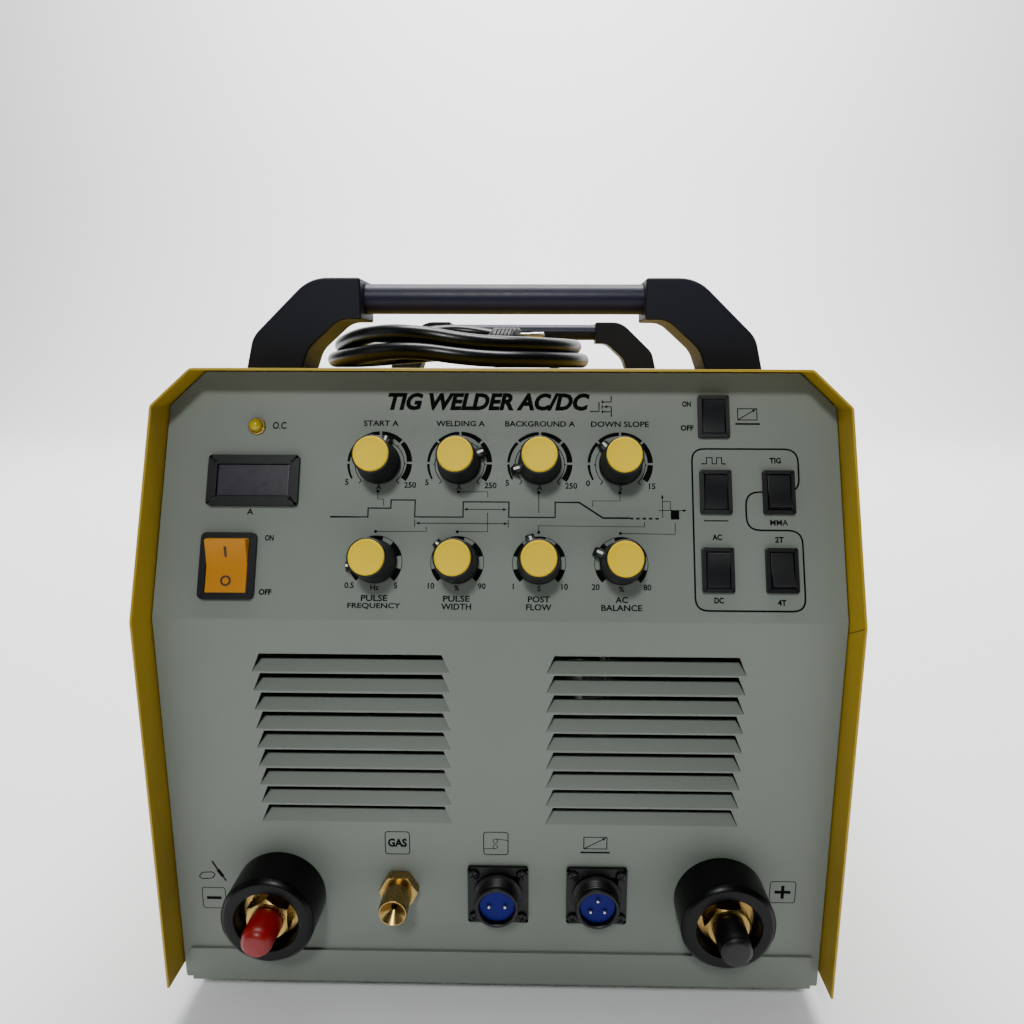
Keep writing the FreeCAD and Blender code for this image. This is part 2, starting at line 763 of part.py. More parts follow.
def control_board():
    """The board that the eight potentiometers are soldered to, with a few chips on its back."""
    near = panel_sheet + potentiometer_depth + board_stand_off
    low = dial_rows[1] - 20
    high = dial_rows[0] + 20
    left = dial_first - 16
    right = dial_first + 3 * dial_pitch + 16
    pieces = [box(left, right, near, near + board_sheet, low, high)]
    back = near + board_sheet
    for step in range(5):
        x = left + 18 + step * 27
        pieces.append(box(x, x + 14, back, back + 3, low + 14, low + 22))
    pieces.append(box(left + 40, left + 62, back, back + 4, low + 40, low + 62))
    return [on_upper(piece) for piece in pieces]


# ---------------------------------------------------------------- meter and lamp
def meter_body(x, z, clearance, y0, y1):
    width = meter_width - 2 * meter_body_inset + 2 * clearance
    height = meter_height - 2 * meter_body_inset + 2 * clearance
    return block(x, z, width, height, y0, y1)


def meter_bezel():
    x, z = meter_at
    bezel = rounded_plate(x, z, meter_width, meter_height, -meter_flange, 0, 2.0)
    edges = [e for e in bezel.Edges if abs(e.BoundBox.YMax + meter_flange) < 0.01]
    bezel = bezel.makeFillet(0.8, edges)
    bezel = bezel.fuse(meter_body(x, z, 0, 0, meter_body_depth))
    bezel = bezel.cut(block(x, z, meter_window_width, meter_window_height, -5, 0.5))
    return on_upper(bezel.removeSplitter())


def meter_window():
    x, z = meter_at
    return on_upper(block(x, z, meter_window_width, meter_window_height, 0.5 - meter_window_sheet, 0.5))


def overheat_lamp():
    """A clear domed lamp in a thin ring."""
    x, z = lamp_at
    lamp = rod_y(x, z, -2.6, 9.0, lamp_radius)
    lamp = lamp.fuse(Part.makeSphere(lamp_radius, Vector(x, -2.6, z)))
    lamp = lamp.fuse(rod_y(x, z, -1.2, 0, lamp_holder_radius))
    return on_upper(lamp.removeSplitter())


# ---------------------------------------------------------------- terminals, gas outlet, sockets
def output_insulators():
    insulators = []
    for x in (-terminal_x, terminal_x):
        front = -insulator_reach
        profile = [
            (stud_radius, insulator_neck),
            (insulator_neck_radius, insulator_neck),
            (insulator_neck_radius, 0),
            (insulator_radius, 0),
            (insulator_radius, front + 2.5),
            (insulator_radius - 2.5, front),
            (insulator_recess_radius + 1.0, front),
            (insulator_recess_radius, front + 1.0),
            (insulator_recess_radius, front + insulator_recess),
            (stud_radius, front + insulator_recess),
        ]
        insulators.append(on_front(turned(profile, x, terminal_z)))
    return insulators


def output_studs():
    """Brass studs, each with a nut in the insulator's recess and one behind it."""
    pieces = []
    seat = insulator_recess - insulator_reach
    tip = cap_end + 0.5 - terminal_reach
    for x, turn in ((-terminal_x, 0.0), (terminal_x, 30.0)):
        stud = rod_y(x, terminal_z, tip, stud_inside, stud_radius)
        bore = rod_y(x, terminal_z, -100, 100, stud_radius)
        front_nut = hexagon_y(x, terminal_z, seat - stud_nut, seat, stud_nut_flats, turn).cut(bore)
        rear_nut = hexagon_y(x, terminal_z, insulator_neck, insulator_neck + stud_nut, stud_nut_flats, turn)
        rear_nut = rear_nut.cut(bore)
        pieces += [on_front(stud), on_front(front_nut), on_front(rear_nut)]
    return pieces


def terminal_cap(x, tip_radius, waist):
    """A soft cap pushed over the stud, with a rounded tip."""
    back = insulator_recess - insulator_reach - stud_nut - 0.3
    front = -terminal_reach
    bore = stud_radius + cap_clearance
    profile = [
        (bore, back),
        (cap_radius, back),
        (waist, front + 4.0),
        (tip_radius + 1.2, front + 1.0),
        (tip_radius, front),
        (0, front),
        (0, front + cap_end),
        (bore, front + cap_end),
    ]
    return on_front(turned(profile, x, terminal_z))


def gas_outlet():
    """Brass bulkhead fitting: hexagon and nose in front, thread, nut and hose tail behind."""
    body = rod_y(gas_x, gas_z, -gas_reach + 1, -gas_hex, gas_nose_radius)
    body = body.fuse(cone_y(gas_x, gas_z, -gas_reach, -gas_reach + 1, gas_nose_radius - 1, gas_nose_radius))
    body = body.fuse(hexagon_y(gas_x, gas_z, -gas_hex, 0, gas_flats, 30.0))
    body = body.fuse(rod_y(gas_x, gas_z, 0, 12, gas_thread_radius))
    body = body.fuse(rod_y(gas_x, gas_z, 12, 26, barb_radius))
    body = body.cut(rod_y(gas_x, gas_z, -gas_reach - 1, 30, gas_bore_radius))
    mouth = cone_y(gas_x, gas_z, -gas_reach - 0.01, -gas_reach + 4, gas_nose_radius - 2, gas_bore_radius)
    body = body.cut(mouth)
    nut = hexagon_y(gas_x, gas_z, panel_sheet, panel_sheet + 5, gas_flats)
    nut = nut.cut(rod_y(gas_x, gas_z, 0, 10, gas_thread_radius))
    return [on_front(body.removeSplitter()), on_front(nut)]


def control_socket_shells():
    shells = []
    for x in socket_xs:
        shell = rounded_plate(x, socket_z, socket_flange_width, socket_flange_height, -socket_flange, 0, 2.0)
        shell = shell.fuse(rod_y(x, socket_z, -socket_reach, socket_back, socket_barrel_radius))
        shell = shell.cut(rod_y(x, socket_z, -socket_reach - 1, 0, socket_bore_radius))
        shell = shell.cut(rod_y(x, socket_z, -1, socket_back + 1, socket_insert_radius))
        for dx, dz in corners_of(socket_screw_spacing):
            shell = shell.cut(rod_y(x + dx, socket_z + dz, -5, 1, socket_screw_radius + 0.2))
        shells.append(on_front(shell.removeSplitter()))
    return shells


def control_socket_inserts():
    """Blue insulating inserts, each with its contact pins as separate pieces."""
    pieces = []
    front = socket_insert_setback - socket_reach
    for x, count in zip(socket_xs, socket_pins):
        insert = rod_y(x, socket_z, front, socket_back, socket_insert_radius)
        pins = []
        for step in range(count):
            angle = math.radians(90 + 360 * step / count)
            pin_x = x + 3.9 * math.cos(angle + math.pi / 2 * (count == 2))
            pin_z = socket_z + 3.9 * math.sin(angle + math.pi / 2 * (count == 2))
            pin = rod_y(pin_x, pin_z, front - 1.5, socket_back + 4, socket_pin_radius)
            insert = insert.cut(pin)
            pins.append(on_front(pin))
        pieces += [on_front(insert)] + pins
    return pieces


def socket_screws():
    screws = []
    for x in socket_xs:
        for dx, dz in corners_of(socket_screw_spacing):
            seat = -socket_flange
            face = seat - socket_screw_head
            head = rod_y(x + dx, socket_z + dz, face, seat, socket_screw_head_radius)
            slot = block(x + dx, socket_z + dz, 4, 0.6, face - 1, face + 0.9)
            shank = rod_y(x + dx, socket_z + dz, seat, 6, socket_screw_radius)
            screws.append(on_front(head.cut(slot).fuse(shank)))
    return screws


# ---------------------------------------------------------------- fan
def fan_frame():
    """Square frame with a round duct, four spokes and a bearing for the rotor's axle."""
    inner = -panel_sheet - fan_depth
    outer = -panel_sheet
    frame = rounded_plate(fan_x, fan_z, fan_side, fan_side, inner, outer, 6.0)
    frame = frame.cut(rod_y(fan_x, fan_z, inner - 1, outer + 1, fan_duct_radius))
    hub = rod_y(fan_x, fan_z, inner, inner + 4, fan_hub_radius)
    for dx, dz in corners_of(2 * fan_duct_radius * math.sqrt(0.5) + 2):
        spoke = box(0, math.hypot(dx, dz), inner, inner + 3, -2, 2)
        spoke.rotate(Vector(0, 0, 0), Vector(0, 1, 0), -math.degrees(math.atan2(dz, dx)))
        spoke.translate(Vector(fan_x, 0, fan_z))
        hub = hub.fuse(spoke)
    frame = frame.fuse(hub)
    frame = frame.cut(rod_y(fan_x, fan_z, inner - 1, inner + 5, fan_axle_radius + fan_axle_clearance))
    for dx, dz in corners_of(fan_screw_spacing):
        frame = frame.cut(rod_y(fan_x + dx, fan_z + dz, inner - 1, outer + 1, screw_radius))
    return on_rear(frame.removeSplitter())


def fan_rotor():
    """Hub, axle and tilted blades. It spins inside the duct and clears the guard."""
    inner = -panel_sheet - fan_depth + 5.0
    outer = -panel_sheet - 2.0
    tip = fan_duct_radius - fan_tip_gap
    blades = []
    for step in range(fan_blades):
        blade = box(fan_hub_radius - 2, tip + 2, -1, 1, -13, 13)
        blade.rotate(Vector(0, 0, 0), Vector(1, 0, 0), 55)
        blade.rotate(Vector(0, 0, 0), Vector(0, 1, 0), 360 * step / fan_blades)
        blade.translate(Vector(fan_x, (inner + outer) / 2, fan_z))
        blades.append(blade)
    band = rod_y(fan_x, fan_z, inner, outer, tip)
    rotor = rod_y(fan_x, fan_z, inner, outer, fan_hub_radius)
    for blade in blades:
        rotor = rotor.fuse(blade.common(band))
    rotor = rotor.fuse(rod_y(fan_x, fan_z, inner - 5.0, inner + 1, fan_axle_radius))
    return on_rear(rotor.removeSplitter())


def fan_guard():
    """Guard of concentric rings on a cross of bars, with an eye at each fixing screw."""
    wire = 2 * guard_wire_radius
    guard = rod_y(fan_x, fan_z, 0, wire, guard_hub_radius)
    for radius in guard_rings:
        ring = rod_y(fan_x, fan_z, guard_wire_radius, guard_wire_radius + wire, radius + guard_wire_radius)
        inside = rod_y(fan_x, fan_z, 0, 2 * wire, radius - guard_wire_radius)
        guard = guard.fuse(ring.cut(inside))
    for dx, dz in corners_of(fan_screw_spacing):
        bar = box(0, math.hypot(dx, dz), 0, wire, -guard_wire_radius, guard_wire_radius)
        bar.rotate(Vector(0, 0, 0), Vector(0, 1, 0), -math.degrees(math.atan2(dz, dx)))
        bar.translate(Vector(fan_x, 0, fan_z))
        eye = rod_y(fan_x + dx, fan_z + dz, 0, wire, screw_head_radius + 1.0)
        guard = guard.fuse(bar).fuse(eye)
    for dx, dz in corners_of(fan_screw_spacing):
        guard = guard.cut(rod_y(fan_x + dx, fan_z + dz, -1, 5, hole_radius))
    return on_rear(guard.removeSplitter())


# ---------------------------------------------------------------- gas valve and hose
def valve_front():
    return -panel_sheet - 6 - valve_length


def gas_valve_body():
    """Brass body with an inlet through the rear panel, a tail for the hose and a stem for the plunger."""
    x = gas_valve_x
    z = gas_valve_z
    back = -panel_sheet - 6
    body = block(x, z, valve_width, valve_height, valve_front(), back)
    body = body.fuse(rod_y(x, z, back, 8, gas_thread_radius))
    body = body.fuse(rod_y(x, z, 8, inlet_reach - 1, barb_radius + 0.8))
    body = body.fuse(cone_y(x, z, inlet_reach - 1, inlet_reach, barb_radius + 0.8, barb_radius))
    body = body.fuse(rod_y(x, z, valve_front() - 14, valve_front(), barb_radius))
    top = z + valve_height / 2
    stem_y = (valve_front() + back) / 2
    body = body.fuse(rod_z(x, stem_y, top, top + valve_stem, valve_stem_radius))
    body = body.cut(rod_z(x, stem_y, z + 2, top + valve_stem - 2, valve_bore_radius))
    body = body.cut(rod_y(x, z, valve_front() - 15, inlet_reach + 1, gas_bore_radius - 0.5))
    nut = hexagon_y(x, z, 0, 5, gas_flats).cut(rod_y(x, z, -1, 10, gas_thread_radius))
    return [on_rear(body.removeSplitter()), on_rear(nut)]


def gas_valve_coil():
    top = gas_valve_z + valve_height / 2 + 0.5
    stem_y = valve_front() + valve_length / 2
    half = valve_coil_side / 2
    z = top + valve_coil_height / 2
    coil = block(gas_valve_x, z, valve_coil_side, valve_coil_height, stem_y - half, stem_y + half)
    coil = coil.cut(rod_z(gas_valve_x, stem_y, top - 1, top + valve_coil_height + 1, valve_stem_radius))
    return on_rear(coil)


def gas_valve_plunger():
    stem_y = valve_front() + valve_length / 2
    bottom = gas_valve_z + 2
    top = gas_valve_z + valve_height / 2 + valve_stem - 2 - valve_lift - 3
    return on_rear(rod_z(gas_valve_x, stem_y, bottom, top, valve_bore_radius - valve_clearance))


def tangent_path(points, label):
    """Straight runs joined by arcs, each arc as large as its two runs allow. Prints the radii."""
    edges = []
    last = points[0]
    radii = []
    for i in range(1, len(points) - 1):
        corner = points[i]
        back = points[i - 1] - corner
        ahead = points[i + 1] - corner
        reach = 0.45 * min(back.Length, ahead.Length)
        half_turn = (math.pi - back.getAngle(ahead)) / 2
        radius = reach / math.tan(half_turn)
        radii.append(radius)
        back = Vector(back).normalize()
        ahead = Vector(ahead).normalize()
        start = corner + back * reach
        end = corner + ahead * reach
        inward = Vector(back + ahead).normalize()
        middle = corner + inward * (radius / math.cos(half_turn) - radius)
        edges.append(Part.LineSegment(last, start).toShape())
        edges.append(Part.Arc(start, middle, end).toShape())
        last = end
    edges.append(Part.LineSegment(last, points[-1]).toShape())
    print(label, "bend radii:", " ".join(f"{radius:.0f}" for radius in radii))
    return Part.Wire(edges)


def tube(points, radius, label, bore=0.0):
    """A round tube along a path, checked against its section times its length."""
    path = tangent_path(points, label)
    direction = points[1] - points[0]

    def swept(section_radius):
        circle = Part.Wire(Part.makeCircle(section_radius, points[0], direction))
        return path.makePipeShell([circle], True, False)

    solid = swept(radius)
    expected = math.pi * radius ** 2 * path.Length
    print(label, f"length {path.Length:.0f}  volume over section x length {solid.Volume / expected:.4f}")
    if bore:
        solid = solid.cut(swept(bore))
    return solid


def gas_hose():
    """Clear hose from the valve's tail, along the left side, to the outlet's tail."""
    start_y = rear_y + valve_front() - 1
    end_y = front_y + 13
    points = [
        Vector(gas_valve_x, start_y, gas_valve_z),
        Vector(gas_valve_x, start_y - 45, gas_valve_z),
        Vector(gas_valve_x - 6, start_y - 100, gas_valve_z - 8),
        Vector(gas_valve_x - 8, (start_y + end_y) / 2 + 35, gas_valve_z - 14),
        Vector(gas_valve_x - 2, (start_y + end_y) / 2 - 30, gas_valve_z - 12),
        Vector(gas_x - 46, end_y + 120, gas_z - 6),
        Vector(gas_x - 14, end_y + 80, gas_z - 1),
        Vector(gas_x, end_y + 40, gas_z),
        Vector(gas_x, end_y, gas_z),
    ]
    return tube(points, hose_radius, "gas hose", barb_radius)


# ---------------------------------------------------------------- power parts inside
def heatsinks():
    """Two finned extrusions standing on the tray, fins inwards, in line with the fan."""
    start = rear_y - panel_sheet - fan_depth - 10 - heatsink_length
    sinks = []
    for side in (-1, 1):
        back = fan_x + side * heatsink_half_gap
        inner = back - side * heatsink_base
        tip = inner - side * heatsink_fin
        top = tray_floor + heatsink_height
        sink = box(min(back, inner), max(back, inner), start, start + heatsink_length, tray_floor, top)
        for step in range(heatsink_fins):
            z = tray_floor + 4 + step * (heatsink_height - 10) / (heatsink_fins - 1)
            fin = box(min(inner, tip), max(inner, tip), start, start + heatsink_length, z, z + 2.5)
            sink = sink.fuse(fin)
        sinks.append(sink.removeSplitter())
    return sinks


def inverter_board():
    """The power board across the heatsinks, its capacitors on top, transistors against the sinks."""
    start = rear_y - panel_sheet - fan_depth - 10 - heatsink_length
    low = tray_floor + heatsink_height
    top = low + board_sheet
    left = fan_x - heatsink_half_gap - 8
    right = fan_x + heatsink_half_gap + 8
    pieces = [box(left, right, start, start + heatsink_length, low, top)]
    for row in range(2):
        for column in range(2):
            x = fan_x + (column - 0.5) * 52
            y = start + 45 + row * 75
            pieces.append(rod_z(x, y, top, top + capacitor_height, capacitor_radius))
    for side in (-1, 1):
        face = fan_x + side * heatsink_half_gap
        outer = face + side * 5
        for step in range(4):
            y = start + 20 + step * 36
            pieces.append(box(min(face, outer), max(face, outer), y, y + 16, low - 26, low))
    return pieces


def main_transformer():
    """Ferrite core round a wound bobbin, on the tray."""
    y = rear_y + transformer_y
    low = tray_floor
    core = box(transformer_x - 40, transformer_x + 40, y - 16, y + 16, low, low + 84)
    window = box(transformer_x - 26, transformer_x + 26, y - 20, y + 20, low + 14, low + 70)
    leg = box(transformer_x - 13, transformer_x + 13, y - 16, y + 16, low + 10, low + 74)
    core = core.cut(window).fuse(leg).removeSplitter()
    coil = box(transformer_x - 24, transformer_x + 24, y - 28, y + 28, low + 16, low + 68)
    coil = coil.makeFillet(6.0, [e for e in coil.Edges if e.BoundBox.ZLength > 40])
    coil = coil.cut(leg)
    return [core, coil]


def output_choke():
    """A wound ring core lying on the tray."""
    y = front_y + choke_y
    ring = rod_z(choke_x, y, tray_floor, tray_floor + choke_height, choke_radius)
    ring = ring.cut(rod_z(choke_x, y, tray_floor - 1, tray_floor + choke_height + 1, choke_radius * 0.4))
    return ring.makeFillet(6.0, [e for e in ring.Edges if e.BoundBox.ZLength < 0.01])


# ---------------------------------------------------------------- mains cord
def cord_gland():
    """Plastic gland: dome nut outside, locknut inside, and the rubber seal that fills it."""
    gland = hexagon_y(gland_x, gland_z, 0, 7, 2 * gland_radius * 0.93)
    gland = gland.fuse(cone_y(gland_x, gland_z, 7, gland_reach, gland_radius * 0.92, gland_radius * 0.62))
    gland = gland.fuse(rod_y(gland_x, gland_z, -14, 7, gland_thread_radius))
    bore = rod_y(gland_x, gland_z, -20, gland_reach + 1, cord_diameter / 2)
    gland = gland.cut(bore).removeSplitter()
    locknut = hexagon_y(gland_x, gland_z, -panel_sheet - 5, -panel_sheet, 2 * gland_radius * 0.9)
    locknut = locknut.cut(rod_y(gland_x, gland_z, -20, 0, gland_thread_radius))
    seal = rod_y(gland_x, gland_z, -14, gland_reach, cord_diameter / 2)
    return [on_rear(gland), on_rear(locknut), on_rear(seal)]


def cord_route():
    """The cord's points from the gland, down in a loop, up over the cover's rear edge to the coil."""
    top = cover_top
    lying = top + cord_diameter / 2 + 0.4
    points = [
        (gland_x, gland_reach, gland_z),
        (gland_x, gland_reach + 55, gland_z),
        (gland_x + 3, gland_reach + 97, gland_z - 39),
        (gland_x + 11, gland_reach + 109, gland_z - 94),
        (gland_x + 41, gland_reach + 103, gland_z - 140),
        (gland_x + 93, gland_reach + 91, gland_z - 156),
        (gland_x + 143, gland_reach + 79, gland_z - 132),
        (gland_x + 164, gland_reach + 70, gland_z - 78),
        (gland_x + 165, gland_reach + 60, top - 120),
        (gland_x + 156, overhang + 50, top - 56),
        (gland_x + 146, overhang + 40, top - 2),
        (gland_x + 137, overhang - 2, top + 27),
        (gland_x + 130, overhang - 52, top + 17),
        (gland_x + 129, overhang - 101, lying + 1.5),
        (gland_x + 136, overhang - 145, lying),
        (gland_x + 149, overhang - 192, lying),
        (gland_x + 156, overhang - 237, lying),
    ]
    return [Vector(x, rear_y + y, z) for x, y, z in points]


def tail_route():
    """The cord's points from the coil's inner side round to the plug, from the coil's centre and the cover."""
    lying = plug_radius + 0.4
    points = [
        (-70.0, -34.0, lying - 0.7),
        (-73.9, -11.8, lying - 1.3),
        (-69.0, 10.2, lying - 1.9),
        (-56.0, 28.6, lying - 1.9),
        (-37.0, 40.6, lying - 1.0),
        (-14.8, 44.4, lying),
        (7.1, 39.3, lying),
    ]
    return [Vector(coil_centre_x + x, rear_y + coil_centre_y + y, cover_top + z) for x, y, z in points]


def plug():
    """Round rubber plug with two pins, lying inside the coil on the end of the cord's tail."""
    route = tail_route()
    start = route[-1]
    way = (route[-1] - route[-2]).normalize()
    body = Part.makeCone(cord_diameter / 2 + 2, plug_radius - 3, 16, start, way)
    body = body.fuse(Part.makeCylinder(plug_radius, plug_length - 16, start + way * 16, way))
    rims = [e for e in body.Edges if e.Length > 2 * math.pi * (plug_radius - 0.1)]
    body = body.makeFillet(1.5, rims)
    pins = []
    for side in (-1, 1):
        foot = start + way * (plug_length - 10) + Vector(0, 0, side * plug_pin_spacing / 2)
        pin = Part.makeCylinder(plug_pin_radius, plug_pin + 10, foot, way)
        body = body.cut(pin)
        pins.append(pin)
    return [body.removeSplitter()] + pins


def ellipse_prism(half_x, half_y, z0, z1):
    centre = Vector(coil_centre_x, rear_y + coil_centre_y, z0)
    if half_x >= half_y:
        curve = Part.Ellipse(centre, half_x, half_y).toShape()
    else:
        curve = Part.Ellipse(centre, half_y, half_x).toShape()
        curve.rotate(centre, Vector(0, 0, 1), 90)
    return Part.Face(Part.Wire(curve)).extrude(Vector(0, 0, z1 - z0))


def mains_cord_coil(neighbours):
    """The outer shape of the loose coil that lies on the cover, between the handles."""
    low = cover_top + 0.3
    ring = ellipse_prism(coil_outer_x, coil_outer_y, low, cover_top + coil_height)
    upper = [e for e in ring.Edges if e.BoundBox.ZMin > cover_top + coil_height - 0.1]
    ring = ring.makeFillet(coil_round, upper)
    ring = ring.cut(ellipse_prism(coil_inner_x, coil_inner_y, low - 1, cover_top + coil_height + 1))
    for neighbour in neighbours:
        ring = ring.cut(neighbour)
    return ring


# ---------------------------------------------------------------- build
os.makedirs("parts", exist_ok=True)

save("base_tray", [base_tray()])
save("front_panel", [front_panel()])
save("rear_panel", [rear_panel()])
save("outer_cover", [outer_cover()])
save("rubber_feet", rubber_feet())
save("handle_brackets", handle_brackets())
save("handle_tubes", handle_tubes())
save("case_screws", case_screws())

dials = [dial_place(column, row) for name, column, row, angle in knobs]
save("potentiometers", [on_upper(potentiometer(*place)) for place in dials])
save("control_board", control_board())
for name, column, row, angle in knobs:
    place = dial_place(column, row)
    save("knob_" + name, [on_upper(piece) for piece in knob(*place, angle)])
    save("knob_cap_" + name, [on_upper(knob_cap(*place))])

housings = [on_upper(switch_housing(x, z, small_switch)) for name, x, z, end in small_switches]
save("function_switch_housings", housings)
for name, x, z, end in small_switches:
    save("rocker_" + name, [on_upper(switch_rocker(x, z, small_switch, end))])
save("power_switch_housing", [on_upper(switch_housing(*power_switch_at, power_switch))])
save("rocker_power_switch", [on_upper(switch_rocker(*power_switch_at, power_switch, -1))])
save("meter_bezel", [meter_bezel()])
save("meter_window", [meter_window()])
save("overheat_lamp", [overheat_lamp()])

save("output_insulators", output_insulators())
save("output_studs", output_studs())
save("negative_terminal_cap", [terminal_cap(-terminal_x, 3.4, 6.9)])
save("positive_terminal_cap", [terminal_cap(terminal_x, 5.2, 7.4)])
save("gas_outlet", gas_outlet())
save("control_socket_shells", control_socket_shells())
save("control_socket_inserts", control_socket_inserts())
save("socket_screws", socket_screws())

save("fan_frame", [fan_frame()])
save("fan_rotor", [fan_rotor()])
save("fan_guard", [fan_guard()])
save("gas_valve_body", gas_valve_body())
save("gas_valve_coil", [gas_valve_coil()])
save("gas_valve_plunger", [gas_valve_plunger()])
save("gas_hose", [gas_hose()])
save("heatsinks", heatsinks())
save("inverter_board", inverter_board())
save("main_transformer", main_transformer())
save("output_choke", [output_choke()])

lead = tube(cord_route(), cord_diameter / 2, "mains cord")
tail = tube(tail_route(), cord_diameter / 2, "cord's tail")
plug_parts = plug()
save("cord_gland", cord_gland())
save("mains_cord", [lead, tail])
save("plug", plug_parts)
save("mains_cord_coil", [mains_cord_coil([lead, tail] + plug_parts)])
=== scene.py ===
import json
from math import asin, atan2, cos, pi, radians, sin, sqrt, tan

import bmesh
import bpy
from mathutils import Matrix, Vector

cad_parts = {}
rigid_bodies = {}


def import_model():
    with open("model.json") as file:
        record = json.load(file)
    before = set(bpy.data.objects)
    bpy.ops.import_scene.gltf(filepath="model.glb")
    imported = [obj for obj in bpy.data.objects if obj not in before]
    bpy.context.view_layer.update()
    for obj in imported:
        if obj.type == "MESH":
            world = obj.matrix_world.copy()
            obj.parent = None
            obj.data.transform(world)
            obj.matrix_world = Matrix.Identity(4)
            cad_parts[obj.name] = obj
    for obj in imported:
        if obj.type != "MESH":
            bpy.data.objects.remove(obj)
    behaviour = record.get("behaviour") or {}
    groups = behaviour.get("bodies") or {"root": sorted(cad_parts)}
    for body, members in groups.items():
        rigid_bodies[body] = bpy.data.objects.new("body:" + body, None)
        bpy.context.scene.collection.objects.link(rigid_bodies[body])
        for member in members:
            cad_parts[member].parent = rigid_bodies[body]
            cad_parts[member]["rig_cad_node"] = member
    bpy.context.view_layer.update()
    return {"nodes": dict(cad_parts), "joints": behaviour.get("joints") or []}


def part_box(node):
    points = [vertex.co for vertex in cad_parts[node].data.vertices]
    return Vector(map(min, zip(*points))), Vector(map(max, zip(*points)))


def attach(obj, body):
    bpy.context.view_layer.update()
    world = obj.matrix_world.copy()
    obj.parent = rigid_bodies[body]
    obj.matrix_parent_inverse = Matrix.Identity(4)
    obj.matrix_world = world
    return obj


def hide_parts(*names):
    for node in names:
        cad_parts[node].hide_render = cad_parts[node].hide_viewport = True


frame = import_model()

mm = 0.001
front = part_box("front_panel")[0].y
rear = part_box("rear_panel")[1].y
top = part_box("outer_cover")[1].z

# ---------------------------------------------------------------- camera and light
# The machine is seen from just above its leaning face, close up, so its front looms.
eye = Vector((20.6 * mm, front - 338.6 * mm, 320.5 * mm))
bpy.ops.object.camera_add(location=eye)
camera = bpy.context.object
camera.name = "camera"
heading_turn, downward_tilt, roll = 0.017, 0.197, 0.003
aim = Matrix.Rotation(heading_turn, 4, "Z") @ Matrix.Rotation(pi / 2 - downward_tilt, 4, "X")
camera.matrix_world = Matrix.Translation(eye) @ aim @ Matrix.Rotation(roll, 4, "Z")
camera.data.lens = 26.95
camera.data.shift_x = -0.0176
camera.data.shift_y = 0.0085
camera.data.clip_start = 0.01
bpy.context.scene.camera = camera


def softbox(name, place, target, size, power, tint=(1, 1, 1)):
    """A square studio light that faces its target."""
    bpy.ops.object.light_add(type="AREA", location=place)
    lamp = bpy.context.object
    lamp.name = name
    lamp.rotation_euler = (Vector(target) - Vector(place)).to_track_quat("-Z", "Y").to_euler()
    lamp.data.size = size
    lamp.data.energy = power
    lamp.data.color = tint


softbox("key_light", (-0.13, front - 1.22, 1.3), (0, front, 0.25), 0.24, 15, (0.97, 1.0, 0.98))
softbox("overhead_light", (-0.25, 0.25, 1.9), (0, 0, 0.3), 1.5, 5, (0.90, 0.95, 1.0))
softbox("side_light", (-1.7, -0.6, 0.9), (0, -0.1, 0.2), 0.9, 1.5)
softbox("backdrop_light", (0, 1.2, 4.2), (0, 4.2, 0.8), 3.0, 620)


def pick(piece, kind, test):
    """In edit mode, selects only the piece's faces, edges or verts that pass the test."""
    bpy.ops.mesh.select_all(action="DESELECT")
    shape = bmesh.from_edit_mesh(piece.data)
    shape.normal_update()
    for item in getattr(shape, kind):
        if test(item):
            item.select_set(True)
    shape.select_flush_mode()
    bmesh.update_edit_mesh(piece.data)


bpy.ops.object.select_all(action="DESELECT")
bpy.ops.mesh.primitive_plane_add(size=8, location=(0, 0.5, 0), enter_editmode=True)
floor = bpy.context.object
floor.name = "floor"
pick(floor, "verts", lambda vertex: vertex.co.y > 0)
bpy.ops.mesh.extrude_region_move(TRANSFORM_OT_translate={"value": (0, 0, 5)})
bpy.ops.object.mode_set(mode="OBJECT")
sweep = floor.modifiers.new("sweep", "BEVEL")
sweep.width = 1.5
sweep.segments = 12
bpy.ops.object.modifier_apply(modifier="sweep")
bpy.ops.object.shade_smooth()
floor.data.transform(floor.matrix_world)
floor.matrix_world = Matrix.Identity(4)

paper = bpy.data.materials.new("studio_paper")
paper.use_nodes = True
paper.node_tree.nodes["Principled BSDF"].inputs["Base Color"].default_value = (0.93, 0.93, 0.94, 1)
paper.node_tree.nodes["Principled BSDF"].inputs["Roughness"].default_value = 0.9
floor.data.materials.append(paper)

world = bpy.data.worlds.new("studio")
world.use_nodes = True
world.node_tree.nodes["Background"].inputs["Color"].default_value = (0.95, 0.98, 1.0, 1)
world.node_tree.nodes["Background"].inputs["Strength"].default_value = 0.06
bpy.context.scene.world = world


# ---------------------------------------------------------------- mains cord
# Three-core mains cable in a black PVC jacket, three metres long. It leaves the gland at the back,
# climbs over the rear handle and lies in three and a half loose turns on top of the cover.
def tone(red, green, blue):
    """A colour of the finished surface, given as it is mixed for a screen."""
    return tuple((part / 255) ** 2.2 for part in (red, green, blue)) + (1,)


